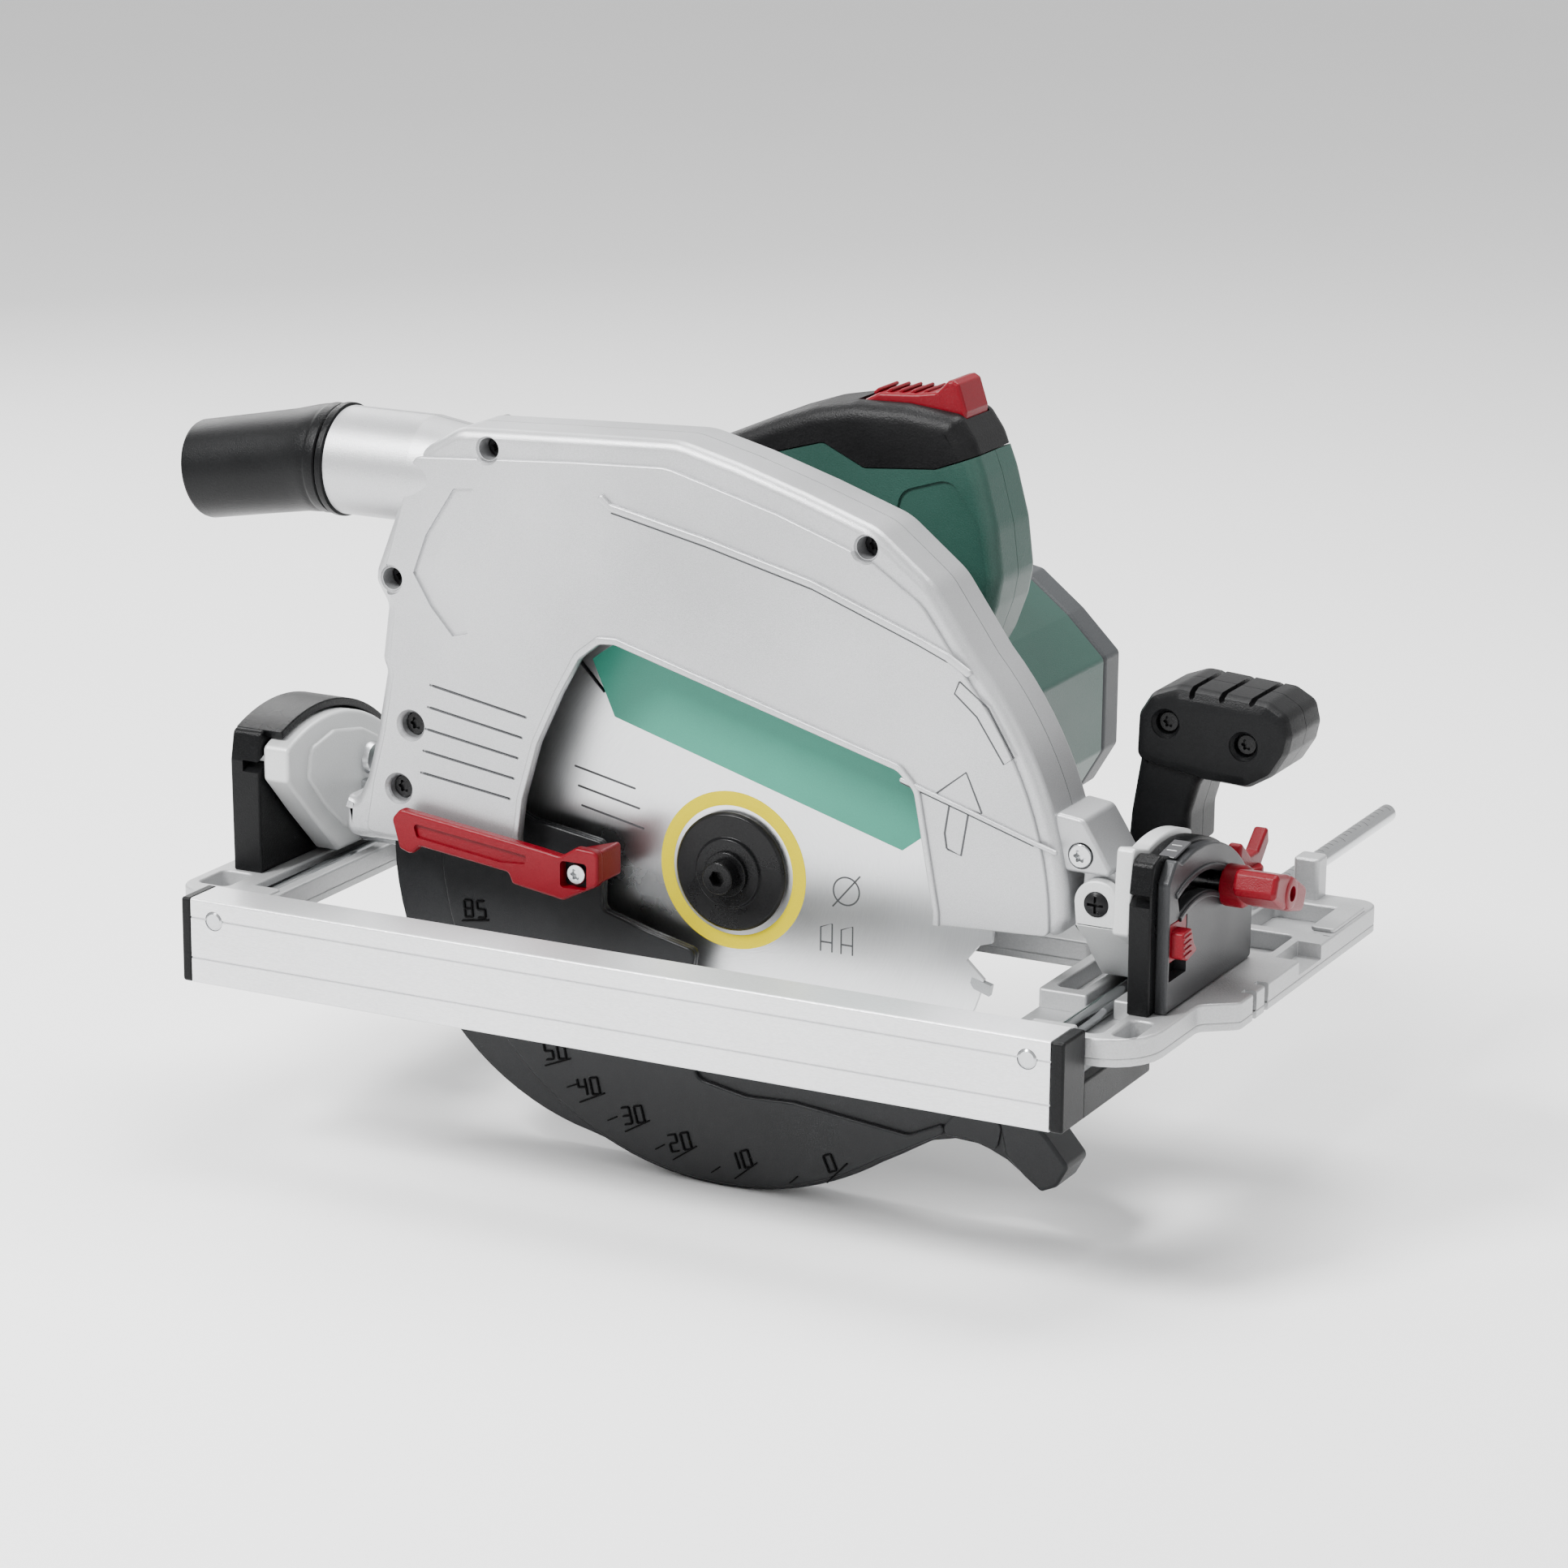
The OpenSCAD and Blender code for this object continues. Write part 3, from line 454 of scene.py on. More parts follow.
black_steel = material("black_steel", (0.005, 0.005, 0.0055), 0.1, 0.28, 1600, 0.04, 0.2, 40, 0.08,
    specular=0.2)
carbide = material("carbide", (0.38, 0.39, 0.40), 0.9, 0.38, 2500, 0.03, 0.1, 60, 0.08)
green = material("green_plastic", (0.014, 0.054, 0.041), 0.0, 0.40, 1700, 0.08, 0.12, 18, 0.05,
    specular=0.35)
dark = material("dark_plastic", (0.034, 0.037, 0.040), 0.0, 0.46, 1700, 0.08, 0.14, 20, 0.05, specular=0.35)
black = material("black_plastic", (0.0025, 0.0027, 0.0031), 0.0, 0.32, 1800, 0.08, 0.2, 20, 0.06,
    specular=0.13)
rubber = material("soft_grip", (0.0034, 0.0034, 0.0038), 0.0, 0.38, 1400, 0.10, 0.2, 26, 0.06,
    specular=0.15)
red = material("red_plastic", (0.155, 0.0, 0.006), 0.0, 0.33, 1800, 0.06, 0.12, 24, 0.05, specular=0.2)
copper = material("copper_winding", (0.45, 0.20, 0.09), 0.7, 0.4, 700, 0.1, 0.15, 60, 0.08)
brass = material("brass_parts", (0.62, 0.45, 0.18), 0.9, 0.35, 1500, 0.03, 0.08, 40, 0.06)
ivory = material("ivory_plastic", (0.62, 0.60, 0.52), 0.0, 0.5, 1500, 0.05, 0.05, 20, 0.05)
print_green = material("print_green", (0.035, 0.24, 0.17), 0.0, 0.36, 1800, 0.02, 0.07, 30, 0.05,
    specular=0.3)
print_yellow = material("print_yellow", (0.60, 0.49, 0.0), 0.0, 0.55, 1800, 0.02, 0.05, 30, 0.05,
    specular=0.0)
# Black for the raised digits and ticks of the lower guard's scale: painted shade that stands in for their
# shading.
painted_shade_black = material("painted_shade_black", (0.0016, 0.0016, 0.0018), 0.0, 0.5, 1800, 0.02, 0.1, 30, 0.05,
    specular=0.05)
# Dark print on the blade and the rod scale; on the guard it is also painted shade along the ridges and in
# the grooves.
print_and_painted_shade = material("print_and_painted_shade", (0.045, 0.047, 0.05), 0.1, 0.45, 1800, 0.02, 0.08, 30, 0.05)
# Dark colour for painted shade: in the guard's parting gap, the quadrant window and behind the motor cap's
# vents.
painted_shade_dark = material("shadow_line", (0.05, 0.05, 0.053), 0.3, 0.6, 1500, 0.03, 0.1, 40, 0.05)


def blade_material():
    """Steel ground in arcs: the streaks follow the radius, and slow bands cross them."""
    m = material("ground_blade", (0.66, 0.67, 0.68), 1.0, 0.30, 1200, 0.0, 0.05, 20, 0.05)
    nt = m.node_tree
    n, link = nt.nodes, nt.links.new
    coord = next(x for x in n if x.type == "TEX_COORD")
    bsdf = n["Principled BSDF"]
    split = add_node(nt, "SeparateXYZ")
    link(coord.outputs["Object"], split.inputs[0])

    def op(kind, a, b=None):
        x = add_node(nt, "Math")
        x.operation = kind
        for i, v in enumerate((a, b)):
            if v is None:
                continue
            if isinstance(v, (int, float)):
                x.inputs[i].default_value = v
            else:
                link(v, x.inputs[i])
        return x.outputs[0]

    dx, dz = split.outputs["X"], op("SUBTRACT", split.outputs["Z"], ARBOR[1] * MM)
    radius = op("SQRT", op("ADD", op("MULTIPLY", dx, dx), op("MULTIPLY", dz, dz)))
    angle = op("ARCTAN2", dz, dx)
    mix = add_node(nt, "CombineXYZ")
    link(op("MULTIPLY", radius, 900), mix.inputs["X"])
    link(op("MULTIPLY", angle, 4), mix.inputs["Y"])
    streak = add_node(nt, "TexNoise", Scale=2.2, Detail=4)
    link(mix.outputs[0], streak.inputs["Vector"])
    bump = next(x for x in n if x.type == "BUMP")
    bump.inputs["Strength"].default_value = 0.16
    bump.inputs["Distance"].default_value = 0.0002
    link(streak.outputs["Fac"], bump.inputs["Height"])
    half = next(x for x in n if x.type == "MATH" and x.operation == "ADD")
    link(streak.outputs["Fac"], half.inputs[0])
    bsdf.inputs["Anisotropic"].default_value = 0.55
    return m


blade_steel = blade_material()

# ---------- upper guard ----------
guard_line = ([(-168, 29), (-147, 29), (-84, 30), (99, 30.5), (119, 31), (150.5, 33)] +
    arc(ARBOR, 154, 3, 42, 14) + [(95, 163), (71, 182), (40, 192.5), (12, 201), (-14, 207.5),
        (-60, 205.5), (-112, 203), (-132, 191), (-151, 142), (-151.5, 137), (-146, 128), (-149, 105),
        (-147, 101), (-152, 74), (-157, 55), (-162, 45), (-167, 47)])
guard_out = rounded(guard_line, [5.5, 5.5, 0, 0, 0, 5.5] + [0] * 15 +
    [25, 25, 0, 0, 30, 0, 14, 8, 6, 6, 6, 6, 6, 6, 8, 6, 5.5])
guard_in = inset([(-152, 20), (147, 20), (150, 33)] + arc(ARBOR, 154, 3, 42, 14) +
    [(71, 182), (-14, 207), (-112, 202), (-131, 190), (-150, 141), (-146, 128), (-149, 105),
        (-147, 101), (-152, 74)], 3)
window_line = [(-83.5, 10), (99, 10), (99, 36), (90, 83), (83, 90), (-40, 124.5), (-47, 124),
    (-56, 117), (-65, 101), (-75, 80), (-82, 56), (-84, 41)]
window = rounded(window_line, [0, 0, 2, 7, 7, 6, 5, 6, 10, 10, 8, 4])
SHELL_SCREWS = [(-98, 196), (-143, 139), (67.5, 174.5)]
LINER_SCREWS = [(-134, 80), (-140, 53)]
inner_cut = cut([guard_in], -21.5, 8)

panel_line = ([(-156, 33), (-84, 31), (99, 31), (147, 33)] + arc(ARBOR, 147, 3, 40, 12) +
    [(92, 155), (68, 171), (30, 184), (-18, 197), (-60, 195), (-131, 190), (-146, 141), (-147, 137),
        (-141, 128), (-144, 105), (-142, 101), (-147, 74), (-152, 55)])
panel = rounded(panel_line, [3, 0, 0, 3] + [0] * 13 + [20, 20, 0, 25, 0, 4, 6, 3, 3, 3, 3, 3, 3, 3])

tube = lathe(rounded([(22, -173.8), (22, -134), (18.6, -110), (18.05, -110), (18.05, -173.8)],
        [1.0, 3, 0, 0, 0.3], 4), TUBE, "x", 72)
spigot = lathe([(19.5, -182), (19.5, -172), (18, -172), (18, -182)], TUBE, "x", 72)
bore = disc(18, -190, -108, TUBE, "x", 0)
far_half = block((-260, -4.2, -20), (260, 60, 300), 0)
near_half = block((-260, -60, -20), (260, -3.75, 300), 0)
belly = block((-154, -21.5, 10), (147, 30, 60), 0)
far_belly = block((-154, -21.5, 10), (147, 8, 60), 0)
grooves = [strip([(-125 - 1.2 * i, 98 - 9.2 * i), (-80 - 1.9 * i, 90 - 8.6 * i)], 1.1, -26, -24.0, "y",
        0) for i in range(5)]
chevron = cut([[(-104, 180), (-113, 179), (-126, 159), (-132, 143), (-124, 130), (-114, 119),
        (-107, 121), (-118, 133), (-124.5, 143), (-119, 157)]], -26, -23.5)
cutters = ([inner_cut, cut([window], -26, -20), far_half, belly, bore, chevron] + grooves +
    [lathe([(0, -26), (7.0, -26), (6.6, -24.7), (5.1, -22.6), (5.1, -18), (0, -18)], c, "y", 48, False)
        for c in LINER_SCREWS] + [lathe([(0, -26), (6.6, -26), (6.2, -24.7), (4.5, -22.0), (4.5, -13),
                (0, -13)], c, "y", 48, False) for c in SHELL_SCREWS])
near = joined(carve([plate([guard_out], -23.3, 9, "y", 4.5, 5), plate([panel], -24.7, -20, "y", 0.8, 3)],
        *cutters), carve([tube], far_half, *cutters[-3:]),
    *[minus(disc(5.8, -22.3, -4.2, c, "y", 0), disc(4.5, -30, -13, c, "y", 0)) for c in SHELL_SCREWS],
    *[minus(disc(7.5, -22.3, -15.4, c, "y", 0.3), disc(5.1, -30, -18, c, "y", 0)) for c in LINER_SCREWS])
piece("guard_near", near, silver, "saw_head", ["upper_guard_near"])

rim_out = rounded([(-86.5, 31), (-86.5, 41), (-84.5, 57), (-77.5, 81), (-67.3, 102.5), (-58, 119.3),
        (-48, 127), (-39.5, 127.3), (84.5, 92.5), (92.4, 84), (101.5, 36), (101.5, 31)],
    [0, 4, 8, 10, 10, 6, 5, 6, 8, 8, 2, 0])
rim_in = rounded([(-83.5, 31)] + window_line[:1:-1] + [(99, 31)], [0, 4, 8, 10, 10, 6, 5, 6, 7, 7, 2, 0])
piece("window_rim", plate([rim_out + rim_in[::-1]], -26.0, -24.0, "y", 0.7, 3), silver, "saw_head")
ridge_a = ribbon([(-47, 183), (-42, 179), (0, 170), (46, 158.5), (91, 142), (103, 137), (113, 131)], 3.2)
ridge_b = ribbon([(84, 87), (110, 79), (140, 69.5), (150, 66.5)], 2.0)
piece("guard_ridges",
    joined(plate([ridge_a], -26.2, -24.3, "y", 0.9, 3), plate([ridge_b], -25.9, -24.3, "y", 0.7, 3)),
    silver, "saw_head")
arrow = [(104, 62), (110, 60), (113, 79), (118.5, 77.5), (111.5, 93), (99, 83), (105, 81.3), (103, 68),
    (104, 62)]
sweep = [(108, 128), (120, 119), (131, 101), (127, 98), (115.5, 115), (106, 123), (108, 128)]
# Painted shade: dark lines under the two ridges and in the grooves. The arrow and sweep are dark marks of
# the guard's arrow.
shade_under_ridge_a = [(x, z - 2.3) for x, z in [(-42, 179), (0, 170), (46, 158.5), (91, 142), (103, 137)]]
shade_under_ridge_b = [(x, z - 1.6) for x, z in [(84, 87), (110, 79), (140, 69.5)]]
lines = ([(arrow, 0.8), (sweep, 0.6), (shade_under_ridge_a, 0.5), (shade_under_ridge_b, 0.4)] +
    [([(-124 - 1.2 * i, 98 - 9.2 * i - 0.2), (-81 - 1.9 * i, 90 - 8.6 * i)], 0.5) for i in range(5)])
piece("guard_arrow_and_painted_shade", joined(*[strip(line, w, -24.9, -24.3, "y", 0.1, 1) for line, w in lines]),
    print_and_painted_shade, "saw_head")

lug = rounded([(152, 58.6), (168.8, 58.6), (169.6, 61), (163.5, 71), (158, 79.5), (146, 81), (146, 62)],
    [0, 2, 2, 5, 4, 2, 0])
ear = [(157, 59.5)] + arc(PIVOT, 8.5, 180, 360, 24) + [(170, 59.5)]
pin_hole = disc(5.05, -23, 13, PIVOT, "y", 0)
far = joined(carve([plate([guard_out], -20, 10.5, "y", 2.2, 4)], inner_cut, bore, near_half, far_belly,
        disc(36, 0, 12, ARBOR, "y", 0, 96), *[disc(1.9, -6, 5, c, "y", 0, 24) for c in SHELL_SCREWS]),
    carve([tube, spigot], near_half),
    carve([plate([lug], -20, 10.2, "y", 1.6, 4)], disc(5.2, -22, -17, (157.3, 65.5), "y", 0)),
    carve([plate([ear], -15.7, 5.9, "y", 0.8, 3)], pin_hole),
    disc(7, 10, 18.6, (-148.5, 31), "y", 0.6),
    slab([(-154, 26), (-139, 26), (-139, 62), (-152, 62)], 3, 7, 10.4, "y", 0.5),
    *[strip(line, 2.4, 9.5, 12.2, "y", 0.7) for line in ([(-140, 120), (-60, 150), (20, 160)],
            [(-140, 70), (-60, 75)], [(60, 70), (135, 80)], [(50, 120), (110, 130)])])
piece("guard_far", far, silver_painted_shade, "saw_head", ["upper_guard_far", "dust_spout"])
# Painted shade: a dark band in the gap where the two guard halves meet.
lip_a, lip_b = inset(guard_out, 0.8), inset(guard_out, 2.6)
run = [i for i, q in enumerate(ccw(guard_out)) if q[1] > 50]
piece("parting_painted_shade", cut([[lip_a[i] for i in run] + [lip_b[i] for i in reversed(run)]], -4.5, -3.4),
    painted_shade_dark, "saw_head")


def torx(c, r, y0, depth, axis="y", sign=1):
    """A pan head from its face at y0 to y0 + depth, with a six-lobed drive recess."""
    star = []
    for i in range(48):
        a = 2 * math.pi * i / 48
        star.append((c[0] + r * (0.50 + 0.09 * math.cos(6 * a)) * math.cos(a), c[1] +
            r * (0.50 + 0.09 * math.cos(6 * a)) * math.sin(a)))
    lo, hi = min(y0, y0 + depth), max(y0, y0 + depth)
    head = disc(r, lo, hi, c, axis, 0.5, 48)
    d = depth * 0.6
    return minus(head, plate([star], min(y0 - 0.1 * sign, y0 + d), max(y0 - 0.1 * sign, y0 + d), axis, 0))


screws = joined(*[torx(c, 4.2, -15.5, 2.4) for c in SHELL_SCREWS],
    *[torx(c, 4.7, -20.3, 2.2) for c in LINER_SCREWS],
    *[disc(1.8, -13.2, 4, c, "y", 0.1, 24) for c in SHELL_SCREWS])
piece("guard_screw_heads", screws, black_steel, "saw_head", ["guard_screws"])
piece("lug_screw_head",
    joined(torx((157.3, 65.5), 4.6, -20.9, 3.4), disc(1.9, -18, 3, (157.3, 65.5), "y", 0.1, 24)),
    chrome, "saw_head", ["lug_screw"])
piece("port_ring", lathe(rounded([(23.0, -176.4), (23.0, -173.6), (21.6, -172.8), (19.6, -172.8),
                (19.6, -176.4)], 0.5, 3), TUBE, "x", 72), black, "saw_head")

# ---------- dust elbow ----------
bend = math.radians(10.3)


def elbow_ring(t, r):
    """A ring of radius r at t mm along the bent tube, measured from the port."""
    if t < 0:
        c, d = Vector((-183 - t, TUBE[0], TUBE[1])), Vector((-1, 0, 0))
    else:
        k = min(1, t / 10) * bend
        d = Vector((-math.cos(bend), 0, -math.sin(bend)))
        c = Vector((-183, TUBE[0], TUBE[1])) + d * t
        d = Vector((-math.cos(k), 0, -math.sin(k)))
    up = Vector((0, 1, 0)).cross(d).normalized()
    return [c + up * r * math.sin(a) + Vector((0, 1, 0)) * r * math.cos(a)
        for a in [2 * math.pi * i / 72 for i in range(72)]]


outer = [(-5.6, 19.7), (-5.6, 21.7), (-5.0, 22.3), (-1.5, 22.4), (-0.6, 21.9), (0.3, 21.9),
    (2.0, 21.9), (4.5, 21.7), (12, 20.9), (30, 20.6), (58.4, 20.3), (59.6, 19.9), (60, 19.2),
    (60, 18.1), (59.4, 17.6), (40, 17.5), (4, 17.5), (2, 17.8), (-1, 19.7)]
piece("elbow", loft([elbow_ring(t, r) for t, r in outer] + [elbow_ring(*outer[0])], False), black,
    "dust_elbow", ["dust_adapter"], 40)

# ---------- blade, flanges and print ----------
paint([("saw_blade", blade_steel), ("carbide_tips", carbide)])
green_seg = [(-53.5, 88.5), (74, 51)] + arc(ARBOR, 101, 20, 129, 40)
piece("blade_label", cut([green_seg], BLADE_FACE - 0.06, BLADE_FACE - 0.005), print_green, "blade_shaft")
piece("blade_ring", lathe([(26.5, BLADE_FACE - 0.06), (32.3, BLADE_FACE - 0.06),
            (32.3, BLADE_FACE - 0.005), (26.5, BLADE_FACE - 0.005)], ARBOR, "y", 96), print_yellow,
    "blade_shaft")


def stroke(points, w=0.7):
    """A printed line on the blade."""
    return strip(points, w, BLADE_FACE - 0.05, BLADE_FACE - 0.005, "y", 0)


def ring_mark(c, r, w=0.7):
    """A printed circle on the blade."""
    return lathe([(r - w, BLADE_FACE - 0.05), (r, BLADE_FACE - 0.05), (r, BLADE_FACE - 0.005),
            (r - w, BLADE_FACE - 0.005)], c, "y", 40)


marks = [ring_mark((50, 31), 6.0), stroke([(44, 24), (56, 38)]),
    stroke([(39, 5), (39, 15), (44, 17), (44, 5)]), stroke([(48, 5), (48, 15), (53, 17), (53, 5)]),
    stroke([(39, 9), (44, 9)]), stroke([(48, 9), (53, 9)])]
marks += [stroke([(-72 + i * 1.5, 66 - i * 8), (-44 + i * 2.0, 60 - i * 8)], 0.9) for i in range(3)]
piece("blade_marks", joined(*marks), print_and_painted_shade, "blade_shaft")
flange = lathe(rounded([(24.3, -1.05), (24.3, -3.2), (23.2, -4.4), (14.5, -4.9), (13.8, -6.4),
            (9.2, -6.6), (4.1, -6.6), (4.1, -1.05)], [0.2, 0.8, 0.8, 0.6, 0.6, 0.2, 0.2, 0.1], 3),
    ARBOR, "y", 96)
piece("flange_outer", flange, black_steel, "blade_shaft", ["outer_flange"])
hexes = [(ARBOR[0] + 3.4 * math.cos(math.radians(60 * i)), ARBOR[1] +
        3.4 * math.sin(math.radians(60 * i))) for i in range(6)]
bolt = minus(disc(6.6, -15, -8.4, ARBOR, "y", 0.7), cut([hexes], -16, -11))
bolt = joined(bolt, disc(9.2, -8.5, -6.6, ARBOR, "y", 0.5), disc(4.0, -8, 18, ARBOR, "y", 0.2, 32))
piece("arbor_bolt", bolt, black_steel, "blade_shaft", ["blade_bolt"])

# ---------- swinging lower guard ----------
def rim_radius(a):
    """How far the lower guard's rim is from the arbor, a degrees round: it bulges towards the back."""
    d = math.radians(a - 188.5)
    return max(129.0, 38.5 * math.cos(d) + math.sqrt(112.5 ** 2 - (38.5 * math.sin(d)) ** 2))


lip = [(80, -70), (94, -61.5), (104, -59), (115, -59.5), (126, -64), (134, -69.5), (141, -74),
    (147, -71), (151.5, -62), (142, -50), (126, -36.5), (112, -24.5)]
rim_line = ([(rim_radius(a) * math.cos(math.radians(a)), 32.5 +
            rim_radius(a) * math.sin(math.radians(a))) for a in range(165, 250, 3)] +
    arc(ARBOR, 129, 252, 304, 20) + lip)
near_edge = [(99, -53), (84, -60), (34, -55), (13, -56), (-9, -52), (-16, -30), (-10, 1), (-31, 6),
    (-52, 12), (-52, 40), (-84, 45), (-118, 60)]
recess_edge = [(106, -46), (60, -42), (-2, -40), (-16, -30), (-10, 1), (-31, 6), (-52, 12), (-52, 40),
    (-84, 45), (-118, 60)]
far_edge = [(60, 10), (30, 25), (18, 58), (-4, 66), (-26, 60), (-84, 68), (-118, 66)]
rim_smooth = inset(rim_line, 0.2)
disc_line = arc(ARBOR, 127, 166, 304, 60) + [(82, -67), (100, -57)]
wall = rounded(disc_line + near_edge, [0] * 61 + [4, 4] + [5, 6, 3, 3, 5, 4, 4, 3, 2, 2, 4, 4], 5)
back = rounded(rim_smooth + recess_edge, [0] * (len(rim_smooth) - 12) +
    [8, 8, 5, 5, 5, 5, 2, 2, 3, 4, 4, 3] + [3] * 10, 4)
ticks = [((52, -80), 0), ((11, -86), 10), ((-17, -83), 20), ((-39, -75), 30), ((-60, -66), 40),
    ((-76, -53), 50), ((-114, 3), 85)]
SEGMENTS = {"0": "abcdef", "1": "bc", "2": "abged", "3": "abgcd", "4": "fgbc", "5": "afgcd", "8": "abcdefg"}
BARS = {"a": ((0, 2), (1, 2)), "b": ((1, 2), (1, 1)), "c": ((1, 1), (1, 0)), "d": ((0, 0), (1, 0)),
    "e": ((0, 0), (0, 1)), "f": ((0, 1), (0, 2)), "g": ((0, 1), (1, 1))}


def number(text, at, size, tilt, y0, y1, w=0.8):
    """Raised digits made of straight bars, turned by tilt degrees."""
    out, c, s = [], math.cos(math.radians(tilt)), math.sin(math.radians(tilt))
    for i, ch in enumerate(text):
        for bar in SEGMENTS[ch]:
            pts = []
            for u, v in BARS[bar]:
                u = (i - (len(text) - 1) / 2) * size * 0.85 + (u - 0.5) * size * 0.5
                v = (v - 1) * size * 0.5
                pts.append((at[0] + u * c - v * s, at[1] + u * s + v * c))
            out.append(strip(pts, w, y0, y1, "y", 0.1, 1))
    return out


scale = []
for spot, value in ticks:
    x, z = Vector(spot) + (Vector(ARBOR) - Vector(spot)).normalized() * 3
    e = (Vector(PIVOT) - Vector((x, z))).normalized()
    up = Vector((-e.y, e.x))
    mark = Vector((x, z)) - up * 4.8
    scale += number(str(value), (x, z), 7.0, math.degrees(math.atan2(e.y, e.x)) * 0.5, -14.7, -13.8, 0.75)
    scale.append(strip([tuple(mark - e * 7), tuple(mark + e * 6)], 0.7, -14.6, -13.8, "y", 0.1, 1))
minor = []
for (p, q) in zip(ticks[:5], ticks[1:6]):
    mid = (Vector(p[0]) + Vector(q[0])) / 2
    e = (Vector(PIVOT) - mid).normalized()
    mid -= Vector((-e.y, e.x)) * 5.2
    minor.append(strip([tuple(mid - e * 3), tuple(mid + e * 2)], 0.6, -14.5, -13.8, "y", 0.1, 1))
hub = lathe(rounded([(34, 4), (34, 7.6), (26.4, 7.6), (26.4, 4)], 0.5, 3), ARBOR, "y", 96)
far_wall = rounded(rim_smooth + far_edge, [0] * (len(rim_smooth) - 12) +
    [8, 8, 5, 5, 5, 5, 2, 2, 3, 4, 4, 3] + [3] * 7, 4)
hole = disc(26.3, 0, 9, ARBOR, "y", 0, 96)
trough = minus(plate([far_wall], -10.6, 6.5, "y", 1.2, 3), cut([inset(rim_line, 3) +
            [(116, -12), (72, 22)] + [(p[0] * 1.03, p[1] * 1.03) for p in far_edge]], -30, 4.5), hole)
swing = joined(plate([wall], -14, -11.2, "y", 1.0, 4), plate([back], -11.8, -9.0, "y", 0.9, 3), trough, hub)
# The raised digits and ticks are black: painted shade for their shading.
piece("guard_scale", joined(*scale, *minor), painted_shade_black, "swing_guard")
nose = joined(slab([(126, -62), (134, -69), (141, -74), (147.5, -71), (152.5, -62), (143, -51),
            (127, -37), (121, -40)], [2, 2, 2, 3, 3, 3, 3, 2], -13.2, 6.9, "y", 1.6, 4),
    slab([(96, -58), (110, -57.5), (122, -61), (124, -50), (113, -42), (104, -48)], 3, -13.0, -11.0,
        "y", 0.7, 3))
piece("guard_swing_shell", joined(swing, nose), guard_paint, "swing_guard", ["lower_guard"])
lever = [(-138, 43), (-134.5, 31), (-129, 29), (-125, 33), (-84, 28), (-82, 23.5), (-59, 20),
    (-43, 28), (-43, 42), (-53, 42.5), (-60, 38), (-70, 39.5), (-134, 47.5)]
lever_out = rounded(lever, [3, 2, 3, 2, 2, 2, 2.5, 3, 3, 3, 3, 4, 3])
pocket = slab([(-128, 42.5), (-126, 36.6), (-88, 31.8), (-76, 32.5), (-75, 36.2)], 1.5, -35, -32.6, "y", 0)
screw_hole = slab([(-60, 25.5), (-48, 25.5), (-48, 36.5), (-60, 36.5)], 1.6, -36, -29.6, "y", 0)
lever_mesh = joined(carve([plate([lever_out], -34, -28.9, "y", 1.3, 4)], pocket, screw_hole),
    slab([(-61, 21.5), (-43.4, 28.5), (-43.4, 41.8), (-60, 37)], 1.5, -29.4, -14.1, "y", 0.6, 3))
piece("lever_red", lever_mesh, red, "swing_guard", ["retract_lever"])
piece("lever_screw_head",
    joined(torx((-54, 31), 4.2, -32.0, 2.6), disc(2, -29.4, -14.3, (-54, 31), "y", 0.1, 24)), chrome,
    "swing_guard", ["lever_screw"])
piece("lever_shadow", slab([(-59.6, 25.9), (-48.4, 25.9), (-48.4, 36.1), (-59.6, 36.1)], 1.4, -29.9,
        -29.5, "y", 0.05, 1), black, "swing_guard")

# ---------- fence and rods ----------
cross = rounded([(-86.5, -20.7), (-66.5, -20.7), (-66.5, 14.5), (-86.5, 14.5)], 1.0, 4)
groove_cut = [cut([[(-88, z + 0.9), (-88, z - 0.9), (-86.5, z - 0.5), (-85.7, z - 0.2),
            (-85.7, z + 0.2), (-86.5, z + 0.5)]], -260, 260, "x") for z in (-10.2, 6.6)]
rod_hole = [disc(4.05, -90, -60, (x, ROD_Z), "y", 0) for x in RODS]
fence_mesh = joined(minus(plate([cross,
                rounded([(-83.5, -17.7), (-69.5, -17.7), (-69.5, -0.7), (-83.5, -0.7)], 1)], -200, 176,
            "x", 0.25, 2), *groove_cut, *rod_hole),
    slab([(-67.5, -20.7), (-4, -20.7), (-4, -6), (-67.5, -6)], 0.8, 164, 176, "x", 0.3, 2),
    slab([(-67.5, -20.7), (-18, -20.7), (-18, -6), (-67.5, -6)], 0.8, -200, -166, "x", 0.3, 2))
piece("fence_rail", fence_mesh, extruded, "fence", ["fence_profile"])
caps = [slab([(y0, -20.7), (y1, -20.7), (y1, top), (y0, top)], r, x, x + thick, "x", edge, 4)
    for x, thick, foot_end in ((176, 5.5, -4), (-204.5, 4.5, -18))
    for y0, y1, top, r, edge in ((-86.5, -66.5, 14.5, 1.4, 1.1), (-67.5, foot_end, -6, 1.2, 1.0))]
piece("fence_end_caps", joined(*caps), black, "fence", ["fence_caps"])
rod_meshes, rod_marks = [], []
for x in RODS:
    rod_meshes.append(lathe([(0, -86.8), (3.0, -86.8), (3.8, -86.3), (4, -85.8), (4, 292), (3.2, 293),
            (0, 293)], (x, ROD_Z), "y", 48, False))
    for i in range(26):
        y, w = 150 + 5.5 * i, (2.6 if i % 5 else 4.2)
        band = ring_part((x, ROD_Z), 4.03, 3.95, 100 - 14 * w, 100 + 14 * w, 8)
        rod_marks.append(cut([band], y, y + 0.45))
piece("rods", joined(*rod_meshes), chrome, "fence", ["guide_rods"])
piece("rod_scale", joined(*rod_marks), print_and_painted_shade, "fence")

